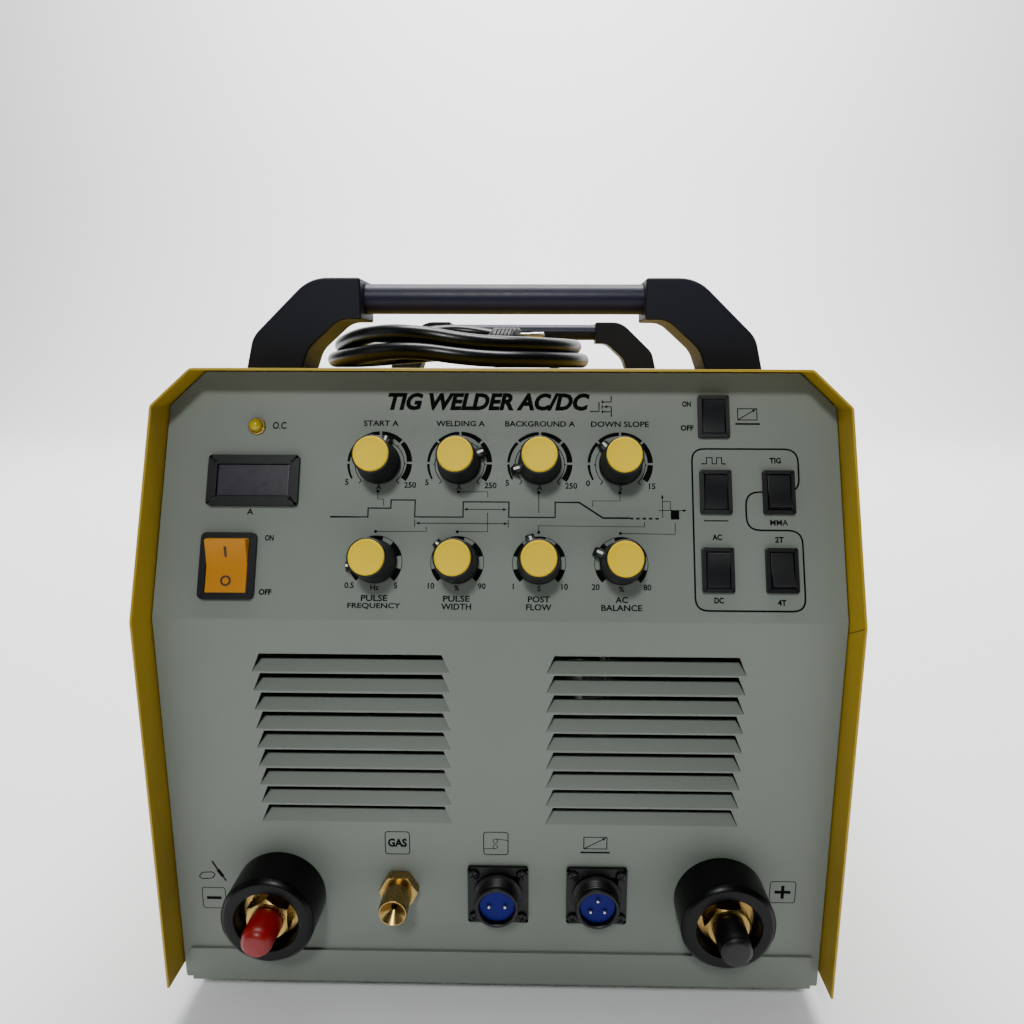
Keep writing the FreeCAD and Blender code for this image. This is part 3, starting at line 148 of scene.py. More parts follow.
def surface(name, colour, other, roughness, grain=900, relief=0.02 * mm, patch=7, metal=0.0, coat=0.0,
            shine=0.5, stretch=(1, 1, 1)):
    """A finish whose colour and gloss drift across the surface, with a fine grain in its relief."""
    material = bpy.data.materials.new(name)
    material.use_nodes = True
    nodes, links = material.node_tree.nodes, material.node_tree.links
    shader = nodes["Principled BSDF"]
    place = nodes.new("ShaderNodeTexCoord")
    turn = nodes.new("ShaderNodeMapping")
    turn.inputs["Scale"].default_value = stretch
    links.new(place.outputs["Object"], turn.inputs["Vector"])
    cloud = nodes.new("ShaderNodeTexNoise")
    cloud.inputs["Scale"].default_value = patch
    cloud.inputs["Detail"].default_value = 6
    links.new(turn.outputs["Vector"], cloud.inputs["Vector"])
    blend = nodes.new("ShaderNodeValToRGB")
    blend.color_ramp.elements[0].position = 0.3
    blend.color_ramp.elements[0].color = colour
    blend.color_ramp.elements[1].position = 0.7
    blend.color_ramp.elements[1].color = other
    links.new(cloud.outputs["Fac"], blend.inputs["Fac"])
    links.new(blend.outputs["Color"], shader.inputs["Base Color"])
    fine = nodes.new("ShaderNodeTexNoise")
    fine.inputs["Scale"].default_value = grain
    fine.inputs["Detail"].default_value = 3
    links.new(turn.outputs["Vector"], fine.inputs["Vector"])
    gloss = nodes.new("ShaderNodeMapRange")
    gloss.inputs["To Min"].default_value = roughness * 0.8
    gloss.inputs["To Max"].default_value = roughness * 1.2
    links.new(fine.outputs["Fac"], gloss.inputs["Value"])
    links.new(gloss.outputs["Result"], shader.inputs["Roughness"])
    bump = nodes.new("ShaderNodeBump")
    bump.inputs["Strength"].default_value = 0.6
    bump.inputs["Distance"].default_value = relief
    links.new(fine.outputs["Fac"], bump.inputs["Height"])
    links.new(bump.outputs["Normal"], shader.inputs["Normal"])
    shader.inputs["Metallic"].default_value = metal
    shader.inputs["Specular IOR Level"].default_value = shine
    shader.inputs["Coat Weight"].default_value = coat
    shader.inputs["Coat Roughness"].default_value = 0.2
    return material


cord_diameter = 10.5 * mm
cord_turns = 3.51
points_per_turn = 14
start_angle = 25
gland_low, gland_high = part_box("cord_gland")
gland_x, gland_z = (gland_low.x + gland_high.x) / 2, (gland_low.z + gland_high.z) / 2
coil_low, coil_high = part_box("mains_cord_coil")
coil_x, coil_y = (coil_low.x + coil_high.x) / 2, (coil_low.y + coil_high.y) / 2
lying = top + 5.65 * mm


def eased(value, start, end):
    share = min(max((value - start) / (end - start), 0), 1)
    return share * share * (3 - 2 * share)


def crown(distance, half_width):
    """A smooth hump: one at its middle and nothing past its half width."""
    return (1 + cos(pi * min(abs(distance) / half_width, 1))) / 2


def coil_point(turn):
    """Where the cord's middle runs after so many turns: each layer lies inside or on the one before."""
    angle = radians(start_angle - 360 * turn)
    inset = -12 * eased(turn, 0.80, 0.98) + 6.5 * eased(turn, 1.80, 1.98) - 11.5 * eased(turn, 2.80, 2.98)
    x = coil_x + (93 + inset) * mm * cos(angle)
    y = coil_y + (106 + inset) * mm * sin(angle)
    rise = 10.8 * eased(turn, 1.62, 1.80) - 1.6 * eased(turn, 2.0, 2.15)
    rise += 12.5 * eased(turn, 2.60, 2.80) - 12.1 * eased(turn, 2.86, 3.0)
    rise += 6.5 * crown(x + 70 * mm, 55 * mm)
    if turn > 1.9 and y < coil_y:
        rise += 3.7 * crown(x + 90 * mm, 45 * mm)
    return Vector((x, y, lying + rise * mm))


lead_route = [(-112, 22, 215), (-112, 77, 215), (-109, 119, 176), (-101, 131, 121), (-71, 125, 75),
              (-19, 113, 59), (31, 101, 83), (52, 92, 137), (53, 82, 200), (44, 66.3, 264), (34, 56.3, 318),
              (25, 14.3, 347), (18, -35.7, 337), (17, -84.7, 327.15), (24, -128.7, 325.65),
              (37, -175.7, 325.65), (44, -220.7, 325.65)]
tail_route = [(-70, -34, 15.2), (-73.9, -11.8, 14.6), (-69, 10.2, 14.0), (-56, 28.6, 14.0), (-37, 40.6, 14.9),
              (-14.8, 44.4, 15.9), (7.1, 39.3, 15.9)]
route = [Vector((x * mm, rear + y * mm, z * mm)) for x, y, z in lead_route]
route += [coil_point(step / points_per_turn) for step in range(1, int(cord_turns * points_per_turn) + 1)]
tail = [Vector((coil_x + x * mm, coil_y + y * mm, top + z * mm)) for x, y, z in tail_route]
route += tail

line = bpy.data.curves.new("mains_cord_jacket", "CURVE")
line.dimensions = "3D"
line.bevel_depth = cord_diameter / 2
line.bevel_resolution = 6
line.resolution_u = 8
line.use_fill_caps = True
spline = line.splines.new("NURBS")
spline.points.add(len(route) - 1)
for control, place in zip(spline.points, route):
    control.co = (*place, 1)
spline.order_u = 3
spline.use_endpoint_u = True
cord = bpy.data.objects.new("mains_cord_jacket", line)
bpy.context.scene.collection.objects.link(cord)
line.materials.append(surface("cord_jacket", tone(5, 6, 9), tone(9, 10, 15), 0.3, grain=400, shine=0.35))
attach(cord, "chassis")
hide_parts("mains_cord", "mains_cord_coil")


# ---------------------------------------------------------------- mains plug
# Moulded two-pin plug on the cord's end: black PVC body with a ribbed grip, nickel-plated brass pins.
def only(piece):
    """Leaves this piece as the one selected and active object."""
    bpy.ops.object.select_all(action="DESELECT")
    piece.select_set(True)
    bpy.context.view_layer.objects.active = piece


def chain(name, points):
    """A string of vertices through the points, in edit mode with all of it selected."""
    bpy.ops.object.select_all(action="DESELECT")
    bpy.ops.mesh.primitive_plane_add(size=1, location=(0, 0, 0), enter_editmode=True)
    piece = bpy.context.object
    piece.name = name
    bpy.ops.mesh.merge(type="CENTER")
    bpy.ops.transform.translate(value=Vector(points[0]))
    for start, end in zip(points, points[1:]):
        bpy.ops.mesh.extrude_region_move(TRANSFORM_OT_translate={"value": Vector(end) - Vector(start)})
    bpy.ops.mesh.select_all(action="SELECT")
    return piece


def closed_up(piece):
    """Merges what coincides, turns the faces outwards and leaves edit mode."""
    bpy.ops.mesh.select_all(action="SELECT")
    bpy.ops.mesh.remove_doubles(threshold=0.005 * mm)
    bpy.ops.mesh.normals_make_consistent(inside=False)
    bpy.ops.object.mode_set(mode="OBJECT")
    return piece


def lathed(name, profile, steps=48):
    """A turned piece about the Y axis from (radius, y) in millimetres."""
    piece = chain(name, [(radius * mm, y * mm, 0) for radius, y in profile])
    bpy.ops.mesh.spin(steps=steps, angle=2 * pi, center=(0, 0, 0), axis=(0, 1, 0))
    return closed_up(piece)


def bevelled(piece, width, segments=2, angle=30):
    only(piece)
    rounding = piece.modifiers.new("rounding", "BEVEL")
    rounding.width = width
    rounding.segments = segments
    rounding.limit_method = "ANGLE"
    rounding.angle_limit = radians(angle)
    bpy.ops.object.modifier_apply(modifier="rounding")
    return piece


def joined(name, pieces):
    """Several loose shapes made into one piece."""
    bpy.ops.object.select_all(action="DESELECT")
    for piece in pieces:
        piece.select_set(True)
    bpy.context.view_layer.objects.active = pieces[0]
    if len(pieces) > 1:
        bpy.ops.object.join()
    pieces[0].name = name
    return pieces[0]


def moved(piece, place):
    """Puts the shape in its place, with its object left at the origin."""
    bpy.context.view_layer.update()
    piece.data.transform(place @ piece.matrix_world)
    piece.matrix_world = Matrix.Identity(4)
    return piece


def copied(piece, name):
    only(piece)
    bpy.ops.object.duplicate(linked=False)
    twin = bpy.context.object
    twin.name = name
    return twin


def fitted(piece, body, material, place=Matrix.Identity(4), smooth=35):
    """Sets a finished piece in its place on its body, with its finish."""
    moved(piece, place)
    piece.data.materials.clear()
    piece.data.materials.append(material)
    only(piece)
    bpy.ops.object.shade_smooth_by_angle(angle=radians(smooth))
    flatness = piece.modifiers.new("flatness", "WEIGHTED_NORMAL")
    flatness.keep_sharp = True
    bpy.ops.object.modifier_apply(modifier="flatness")
    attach(piece, body)
    return piece


plug_radius = 15.5
plug_cone = 16
plug_end = 38
ribs = []
pin_profile = [(0, 34), (1.95, 34), (1.95, 47), (2.4, 47.2), (2.4, 56.2), (1.9, 57), (0, 57)]
for rib in range(5):
    ribs += [(plug_radius, 20 + 3 * rib), (plug_radius, 21 + 3 * rib), (plug_radius - 0.8, 21.6 + 3 * rib),
             (plug_radius - 0.8, 22.4 + 3 * rib)]
body_profile = [(0, 0), (5.6, 0), (6.2, 1), (6.8, 4), (6.2, 5), (6.2, 6), (7.6, 7), (7.8, 9), (7.0, 10),
                (8.6, 11), (11.5, 13.5), (plug_radius - 1, plug_cone), (plug_radius, plug_cone + 1.5)]
body_profile += ribs + [(plug_radius, 36), (plug_radius - 1.4, plug_end), (9, plug_end), (8.4, 37.4),
                        (0, 37.4)]
plug_body = lathed("plug_body", body_profile)
pins = []
for side in (-1, 1):
    pin = lathed("plug_pin", pin_profile, 24)
    pins.append(moved(pin, Matrix.Translation((0, 0, side * 9.5 * mm))))
plug_pins = joined("plug_pins", pins)
heading = tail[-1] - tail[-2]
plug_place = Matrix.Translation(tail[-1]) @ Matrix.Rotation(atan2(-heading.x, heading.y), 4, "Z")
moulded_black = surface("moulded_black", tone(8, 9, 11), tone(12, 13, 16), 0.42, grain=1400, shine=0.3)
plated = surface("plated_pins", tone(190, 188, 182), tone(168, 166, 160), 0.22, grain=1200, metal=1.0)
fitted(plug_body, "chassis", moulded_black, plug_place)
fitted(plug_pins, "chassis", plated, plug_place)
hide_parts("plug")


# ---------------------------------------------------------------- cord gland
# Black nylon compression gland: a hexagon tight against the rear panel and a tapered, ribbed collar
# that keeps the cord from kinking where it leaves the case.
def cut(piece, tool, way="DIFFERENCE"):
    """Cuts the piece with a tool shape, which is then thrown away."""
    only(piece)
    saw = piece.modifiers.new("saw", "BOOLEAN")
    saw.operation = way
    saw.object = tool
    bpy.ops.object.modifier_apply(modifier="saw")
    bpy.data.objects.remove(tool)
    return piece


def hexagon(name, flats, start, end, turn=0, chamfer=0.8):
    """A six-sided nut about the Y axis, its corners turned off at both faces."""
    corner = flats / sqrt(3)
    bpy.ops.object.select_all(action="DESELECT")
    bpy.ops.mesh.primitive_cylinder_add(vertices=6, radius=corner * mm, depth=(end - start) * mm,
                                        location=(0, 0, 0))
    nut = bpy.context.object
    nut.name = name
    lay_down = Matrix.Rotation(pi / 2, 4, "X") @ Matrix.Rotation(radians(turn), 4, "Z")
    moved(nut, Matrix.Translation((0, (start + end) / 2 * mm, 0)) @ lay_down)
    face = flats / 2 - 0.1
    barrel = lathed("barrel", [(0, start), (face, start), (corner + 0.1, start + chamfer),
                               (corner + 0.1, end - chamfer), (face, end), (0, end)], 72)
    return cut(nut, barrel, "INTERSECT")


gland_nut = hexagon("gland_nut", 26, 0, 7, 30)
collar_profile = [(0, 6.5), (12.9, 6.5), (12.9, 9), (12.0, 9.4), (12.0, 10.6), (12.0, 11), (11.6, 13),
                  (10.9, 13.4), (10.9, 14.4), (11.0, 14.8), (10.4, 17), (9.7, 17.4), (9.7, 18.4),
                  (9.8, 18.8), (9.0, 21.4), (8.4, 22), (0, 22)]
collar = lathed("gland_collar", collar_profile)
gland = joined("gland", [gland_nut, collar])
gland_place = Matrix.Translation((gland_x, rear, gland_z))
fitted(gland, "chassis", moulded_black, gland_place)
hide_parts("cord_gland")


# ---------------------------------------------------------------- sheet-metal case
# Folded steel: a mustard-yellow cover like a tunnel, a grey front and rear panel and a grey tray below.
# All are powder-coated after folding, so bends and cut edges are softly rounded.
def softened(node, name, material, width):
    """The same sheet with its edges rounded as paint rounds them."""
    only(frame["nodes"][node])
    bpy.ops.object.duplicate(linked=False)
    piece = bpy.context.object
    piece.name = name
    piece.parent = None
    del piece["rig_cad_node"]
    bpy.ops.mesh.customdata_custom_splitnormals_clear()
    bpy.ops.object.mode_set(mode="EDIT")
    bpy.ops.mesh.select_all(action="SELECT")
    bpy.ops.mesh.remove_doubles(threshold=0.01 * mm)
    bpy.ops.mesh.dissolve_limited(angle_limit=radians(0.5))
    bpy.ops.object.mode_set(mode="OBJECT")
    rounding = piece.modifiers.new("rounding", "BEVEL")
    rounding.width = width
    rounding.segments = 2
    rounding.limit_method = "ANGLE"
    rounding.angle_limit = radians(32)
    rounding.use_clamp_overlap = False
    bpy.ops.object.modifier_apply(modifier="rounding")
    fitted(piece, "chassis", material, smooth=30)
    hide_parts(node)
    return piece


yellow_paint = surface("yellow_powder_coat", tone(154, 127, 2), tone(144, 118, 2), 0.45, grain=700,
                       shine=0.35)
grey_paint = surface("grey_powder_coat", tone(108, 114, 107), tone(102, 108, 101), 0.48, grain=700, shine=0.3)
softened("outer_cover", "cover_sheet", yellow_paint, 0.25 * mm)
softened("front_panel", "front_sheet", grey_paint, 0.35 * mm)
softened("rear_panel", "rear_sheet", grey_paint, 0.2 * mm)
softened("base_tray", "tray_sheet", grey_paint, 0.25 * mm)


# ---------------------------------------------------------------- feet and screws
# Four turned rubber feet screwed up into the tray, and zinc-plated cross-head screws all over the case.
rubber = surface("rubber", tone(26, 26, 27), tone(36, 36, 37), 0.75, grain=600, relief=0.05 * mm)
zinc = surface("zinc_plate", tone(176, 178, 180), tone(150, 153, 156), 0.3, grain=500, metal=1.0)
feet_low, feet_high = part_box("rubber_feet")
foot_radius = 15
foot_profile = [(2.2, 12), (foot_radius, 12), (foot_radius, 9), (14.0, 2), (13.5, 1), (12.9, 0.2),
                (12.0, 0), (7.2, 0), (6.8, 0.4), (6.8, 6), (2.2, 6), (2.2, 12)]
feet = []
for x in (feet_low.x + foot_radius * mm, feet_high.x - foot_radius * mm):
    for y in (feet_low.y + foot_radius * mm, feet_high.y - foot_radius * mm):
        foot = lathed("foot", foot_profile)
        upright = Matrix.Rotation(pi / 2, 4, "X")
        feet.append(moved(foot, Matrix.Translation((x, y, 0)) @ upright))
feet = joined("feet", feet)
fitted(feet, "chassis", rubber)
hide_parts("rubber_feet")


def repainted(node, material):
    """A frame piece that keeps its shape and takes a finish."""
    for holder in frame["nodes"][node].material_slots:
        holder.material = material


repainted("case_screws", zinc)

# ---------------------------------------------------------------- handles
# Two carrying handles across the top: steel tube in a blue-black enamel, held between moulded nylon brackets.
tube_paint = surface("tube_enamel", tone(18, 20, 46), tone(12, 14, 32), 0.42, grain=350, shine=0.3)
nylon = surface("bracket_nylon", tone(9, 14, 26), tone(13, 18, 31), 0.5, grain=1500, relief=0.04 * mm,
                shine=0.3)
softened("handle_brackets", "bracket_mouldings", nylon, 0.35 * mm)
tube_low, tube_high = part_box("handle_tubes")
tube_half = tube_high.x / mm
tube_radius = 7.5
tube_profile = [(6, -tube_half), (7.1, -tube_half), (tube_radius, -tube_half + 0.5),
                (tube_radius, tube_half - 0.5), (7.1, tube_half), (6, tube_half), (6, -tube_half)]
tubes = []
for y in (tube_low.y + tube_radius * mm, tube_high.y - tube_radius * mm):
    tube = lathed("tube", tube_profile, 64)
    across = Matrix.Rotation(-pi / 2, 4, "Z")
    tubes.append(moved(tube, Matrix.Translation((0, y, (tube_low.z + tube_high.z) / 2)) @ across))
tubes = joined("grip_tubes", tubes)
fitted(tubes, "chassis", tube_paint)
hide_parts("handle_tubes")

# ---------------------------------------------------------------- leaning face
# The upper panel leans back. Everything on it is laid out flat, with X across, Z up the slope
# and -Y outwards, and then set on the slope.
joints = {joint["name"]: joint for joint in frame["joints"]}
dial_names = ["start_current", "welding_current", "background_current", "down_slope", "pulse_frequency",
              "pulse_width", "post_flow", "ac_balance"]
first_dial = joints["start_current_turn"]
lean = asin(-first_dial["axis"][2])
dial_mark_out = 10 * mm
first_y, first_z = first_dial["pos_m"][1:]
first_up = (first_y - front + dial_mark_out * cos(lean)) / sin(lean)
knee = first_z - first_up * cos(lean) - dial_mark_out * sin(lean)
face = Matrix.Translation((0, front, knee)) @ Matrix.Rotation(-lean, 4, "X")
on_face = face.inverted()
dial_places = {}
for name in dial_names:
    seen = on_face @ Vector(joints[name + "_turn"]["pos_m"])
    dial_places[name] = (seen.x / mm, seen.z / mm)


# ---------------------------------------------------------------- printing on the panels
# Black screen-printed scales, symbols and plain function words, a few hundredths of a millimetre thick.
ink_thick = 0.06 * mm
inks = []


def kept(piece, middle=Matrix.Identity(4)):
    """Sets a flat ink shape, drawn in the XY plane, upright against the panel."""
    only(piece)
    bpy.ops.object.convert(target="MESH")
    shape = bpy.context.object
    moved(shape, Matrix.Rotation(pi / 2, 4, "X") @ middle)
    inks.append(shape)
    return shape


def ink_text(words, x, z, height, width=0, slant=0.0, weight=0.022):
    """Words centred on a place; width 0 keeps the letters' own proportions."""
    bpy.ops.object.text_add(location=(0, 0, 0))
    text = bpy.context.object
    text.data.body = words
    text.data.shear = slant
    text.data.offset = weight
    text.data.resolution_u = 3
    text.data.extrude = 0.5
    bpy.context.view_layer.update()
    corners = [Vector(corner) for corner in text.bound_box]
    low = Vector([min(corner[axis] for corner in corners) for axis in range(3)])
    high = Vector([max(corner[axis] for corner in corners) for axis in range(3)])
    tall = height * mm / (high.y - low.y)
    wide = width * mm / (high.x - low.x) if width else tall
    size = Matrix.Diagonal((wide, tall, ink_thick, 1))
    return kept(text, Matrix.Translation((x * mm, z * mm, 0)) @ size @ Matrix.Translation(-(low + high) / 2))


def ink_curve(points, closed):
    drawing = bpy.data.curves.new("ink", "CURVE")
    drawing.dimensions = "3D" if not closed else "2D"
    stroke = drawing.splines.new("POLY")
    stroke.points.add(len(points) - 1)
    for control, (x, z) in zip(stroke.points, points):
        control.co = (x * mm, z * mm, 0, 1)
    stroke.use_cyclic_u = closed
    piece = bpy.data.objects.new("ink", drawing)
    bpy.context.scene.collection.objects.link(piece)
    return piece


def ink_patch(points):
    """A filled shape."""
    piece = ink_curve(points, True)
    piece.data.fill_mode = "BOTH"
    piece.data.extrude = ink_thick / 2
    return kept(piece)


def ink_line(points, width=0.45, closed=False):
    """A stroke of even width through the points."""
    piece = ink_curve(points, False)
    piece.data.splines[0].use_cyclic_u = closed
    piece.data.bevel_depth = width * mm / 2
    piece.data.bevel_resolution = 1
    piece.data.use_fill_caps = True
    return kept(piece, Matrix.Diagonal((1, 1, ink_thick / (width * mm), 1)))


def rounded(points, radii, closed=True):
    """The outline with its corners rounded."""
    smooth = []
    for index, (x, z) in enumerate(points):
        if radii[index] == 0 or (not closed and index in (0, len(points) - 1)):
            smooth.append((x, z))
            continue
        before, after = Vector(points[index - 1]), Vector(points[(index + 1) % len(points)])
        corner = Vector((x, z))
        start = corner + (before - corner).normalized() * radii[index]
        end = corner + (after - corner).normalized() * radii[index]
        for step in range(6):
            share = step / 5
            spot = start * (1 - share) ** 2 + corner * 2 * share * (1 - share) + end * share ** 2
            smooth.append((spot.x, spot.y))
    return smooth


def ink_frame(x, z, width, height, radius, thick):
    """A rounded box drawn in an even line."""
    corners = [(x + side * width / 2, z + level * height / 2)
               for side, level in ((-1, -1), (1, -1), (1, 1), (-1, 1))]
    return ink_line(rounded(corners, [radius] * 4), thick, closed=True)


def arrowhead(x, z, angle, size=2.0):
    """A filled triangle whose tip is at the place, pointing the given way in degrees."""
    way = Vector((cos(radians(angle)), sin(radians(angle))))
    side = Vector((-way.y, way.x))
    tail_end = Vector((x, z)) - way * size
    return ink_patch([(x, z), tuple(tail_end + side * size * 0.35), tuple(tail_end - side * size * 0.35)])


def band(x, z, start, end, inner, outer, inner_end, outer_end):
    """A piece of a dial's scale ring: angles run clockwise from straight up and the radii may change."""
    steps = 12
    rim, core = [], []
    for step in range(steps + 1):
        share = step / steps
        angle = radians(start + (end - start) * share)
        far = outer + (outer_end - outer) * share
        near = inner + (inner_end - inner) * share
        rim.append((x + far * sin(angle), z + far * cos(angle)))
        core.append((x + near * sin(angle), z + near * cos(angle)))
    return ink_patch(rim + core[::-1])


ring_out = 15.6
for name, label, width in (("start_current", "START A", 17), ("welding_current", "WELDING A", 23.6),
                           ("background_current", "BACKGROUND A", 33.7), ("down_slope", "DOWN SLOPE", 27.8)):
    x, z = dial_places[name]
    ink_text(label, x, 94.2, 2.8, width)
    for step in range(6):
        start = max(-135 + 45 * step, -123) + 2
        end = min(-90 + 45 * step, 127) - 2
        thin, thick = 0.9 + 2.1 * step / 6, 0.9 + 2.1 * (step + 1) / 6
        band(x, z + 0.5, start, end, ring_out - thin, ring_out, ring_out - thick, ring_out)
        band(x, z, -135 + 45 * step, -90 + 45 * step, 11.6, 12.0, 11.6, 12.0)
    for step in range(7):
        angle = radians(-135 + 45 * step)
        reaches = (11.8, 13.6) if step in (0, 6) else (11.8, 12.6)
        ink_line([(x + reach * sin(angle), z + reach * cos(angle)) for reach in reaches], 0.5)
    is_slope = name == "down_slope"
    ink_text("0" if is_slope else "5", x - 15.4, z - 9.0, 2.9)
    ink_text("15" if is_slope else "250", x + 15, z - 10.3, 2.9)
    ink_text("S" if is_slope else "A", x, z - 11.3, 2.5)

for name, lines, widths, low, unit, high, reach in (
        ("pulse_frequency", ("PULSE", "FREQUENCY"), (12.4, 24.8), "0.5", "Hz", "5", 9.8),
        ("pulse_width", ("PULSE", "WIDTH"), (12.4, 14.0), "10", "%", "90", 11.7),
        ("post_flow", ("POST", "FLOW"), (10.2, 11.8), "1", "S", "10", 12),
        ("ac_balance", ("AC", "BALANCE"), (5.8, 19.0), "20", "%", "80", 12)):
    x, z = dial_places[name]
    for step in range(6):
        band(x, z, -135 + 45 * step, -90 + 45 * step, 12.3, 12.6, 12.3, 12.6)
    for start, end in ((-135, -105), (-75, -40), (-15, 15), (40, 75), (105, 135)):
        band(x, z, start, end, 9.8, 12.6, 9.8, 12.6)
    ink_text(low, x - 12, z - 11, 2.8)
    ink_text(high, x + reach, z - 11, 2.8)
    ink_text(unit, x, z - 11.9, 2.6)
    ink_text(lines[0], x, 9.9, 2.9, widths[0])
    ink_text(lines[1], x, 6.2, 2.9, widths[1])

ink_text("TIG WELDER AC/DC", -6, 105.2, 8.8, 98, slant=0.22, weight=0.045)
ink_text("O.C", -107.2, 92.9, 3.6, 6.6)
ink_text("A", -118.7, 50.5, 3.0)
for words, x, z, width in (("ON", -108.7, 37.9, 4.2), ("OFF", -109.1, 12.3, 6.0), ("ON", 89.6, 104.4, 4.2),
                           ("OFF", 89.6, 92.5, 6.2), ("TIG", 131, 76.6, 5.4), ("MMA", 131.6, 46.7, 8.4),
                           ("AC", 102.4, 39.6, 4.5), ("DC", 102.4, 10.0, 4.4), ("2T", 131.4, 38.6, 4.1),
                           ("4T", 131.4, 9.2, 4.0)):
    ink_text(words, x, z, 2.8, width, weight=0.015 if words == "MMA" else 0.04)

# the current curve between the two rows of dials, with its leaders and arrows
ink_line([(-80.4, 48.2), (-62.4, 48.2), (-62.4, 52.5), (-51.6, 52.5), (-51.6, 56.5), (-40.1, 56.5),
          (-40.1, 48.4), (-17.2, 48.4), (-17.2, 55.8), (4.5, 55.8), (4.5, 48.5), (26.4, 48.5), (26.4, 55.8),
          (37.7, 55.8), (49, 48.4), (61.5, 48.4)], 0.85)
for dash in range(5):
    ink_line([(61.6 + 3 * dash, 48.2), (63.3 + 3 * dash, 48.2)], 0.85)
for leader in ([(-58.1, 60.7), (-58.1, 57), (-55.2, 56.8), (-55.1, 53.9)],
               [(-19.6, 60.6), (-5.7, 60.7), (-5.6, 58)],
               [(18.6, 60.5), (18.7, 50.5)],
               [(57.1, 60.6), (57.1, 56.6), (44.1, 56.6), (44.1, 53.7)],
               [(-58.4, 41.3), (-34.4, 41.5), (-34.5, 43.7)],
               [(-19.7, 41.4), (-5.4, 41.5), (-5.6, 50.6)],
               [(18.7, 41.3), (18.6, 44.5), (68.5, 44.3), (68.5, 46.4)],
               [(57.1, 41.1), (82.8, 40.8), (82.9, 46.3)],
               [(-16, 52.2), (2.6, 52.2)], [(-38.6, 45.4), (3.1, 45.4)],
               [(-40, 43.7), (-40, 47.3)], [(4.3, 43.7), (4.3, 47.3)],
               [(77.1, 48.6), (77.1, 58.5)], [(75.2, 52.2), (87, 52.2)],
               [(77.1, 56.6), (80.9, 56.6), (80.9, 52.2)]):
    ink_line(leader, 0.36)
for x, z, angle in ((-17, 52.2, 180), (3.6, 52.2, 0), (-39.6, 45.4, 180), (4.1, 45.4, 0), (77.1, 59.9, 90),
                    (88.6, 52.2, 0)):
    arrowhead(x, z, angle, 1.9)
for x, z in ((-58.1, 60.7), (-19.6, 60.6), (18.6, 60.5), (57.1, 60.6), (-58.4, 41.3), (-19.7, 41.4),
             (18.7, 41.3), (57.1, 41.1)):
    ink_patch([(x + 0.75 * cos(radians(a)), z + 0.75 * sin(radians(a))) for a in range(0, 360, 30)])
ink_patch([(80.9, 52.2), (84.9, 52.2), (84.9, 47.9), (80.9, 47.9)])

# the outline round the function switches, its wave marks and the remote-control symbol
outline = [(91.5, 5.2), (142.2, 5.2), (142.2, 43), (116.4, 43), (116.4, 61.3), (141.8, 61.3), (141.8, 82.2),
           (91.5, 82.2)]
ink_line(rounded(outline, [6, 6, 6.5, 6.5, 6.5, 6.5, 6.5, 6]), 0.85, closed=True)
ink_line([(96.1, 74.9), (98.4, 74.9), (98.4, 77.9), (101.1, 77.9), (101.1, 74.9), (103.2, 74.9),
          (103.2, 77.9), (105.6, 77.9), (105.6, 74.9), (107.5, 74.9)], 0.65)
ink_line([(96.5, 47.4), (107.9, 47.4)], 0.6)


def remote_symbol(x, z, width, height, bar):
    """A box with a rising arrow across it and a bar below: the sign for remote control."""
    ink_frame(x, z, width, height, 0.1, 0.45)
    ink_line([(x - width / 2, z - height / 2), (x + width * 0.4, z + height * 0.4)], 0.45)
    arrowhead(x + width * 0.47, z + height * 0.47, 31, 2.0)
    ink_line([(x - bar / 2, z - height / 2 - 2), (x + bar / 2, z - height / 2 - 2)], 0.9)


remote_symbol(118.6, 99.4, 9.2, 5.6, 11.8)
ink_line([(43, 100.5), (47.4, 100.5), (47.4, 105.2)], 0.6)
for start, end in ((99.6, 101.2), (102.0, 103.7), (104.5, 106.1)):
    ink_line([(49, start), (49, end)], 0.6)
ink_line([(49, 100.4), (53.3, 100.4), (53.3, 97.9)], 0.6)
ink_line([(49, 105.3), (53.3, 105.3), (53.3, 108.3)], 0.6)
ink_line([(50, 102.9), (53.3, 102.9), (53.3, 100.4)], 0.6)
arrowhead(49.4, 102.9, 180, 2.0)

black_ink = surface("screen_ink", tone(4, 5, 5), tone(8, 9, 9), 0.6, grain=2500, relief=0.005 * mm,
                    shine=0.04)
upper_ink = joined("upper_printing", inks)
fitted(upper_ink, "chassis", black_ink, face)

inks = []
ink_frame(-50.1, 90.4, 12, 12.2, 1.6, 0.45)
ink_text("GAS", -50.1, 90.5, 4.6, 9.4, weight=0.04)
ink_frame(-1.5, 90.8, 12, 12.2, 1.6, 0.45)
for level in (92.1, 89.1):
    ink_line([(-1.8 + 1.1 * cos(radians(a)), level + 1.1 * sin(radians(a))) for a in range(0, 360, 30)],
             0.35, True)
ink_line([(-1.2, 93.2), (4.4, 92.5)], 0.35)
ink_line([(-1.8, 88.0), (-7.4, 87.8)], 0.35)
remote_symbol(47.4, 91.7, 11.3, 6.3, 14.4)
ink_frame(140.5, 66, 12.6, 11.8, 1.4, 0.4)
ink_line([(136.6, 66), (144.4, 66)], 1.6)
ink_line([(140.5, 62.4), (140.5, 69.6)], 1.6)
ink_frame(-143.6, 58.3, 11.6, 11.6, 1.4, 0.4)
ink_line([(-147.3, 58.3), (-139.9, 58.3)], 1.6)
clamp = [(-150.3, 70.2), (-148.6, 72.6), (-143.2, 72.9), (-142.0, 71.4), (-143.8, 69.4), (-148.8, 69.0)]
ink_line(rounded(clamp, [0.9] * 6), 0.5, True)
ink_line([(-143.1, 79), (-140.6, 74.2)], 0.9)
ink_line([(-140.6, 74.2), (-138.2, 70.4)], 1.7)
ink_line([(-138.2, 70.4), (-136.8, 68)], 0.8)
lower_ink = joined("lower_printing", inks)
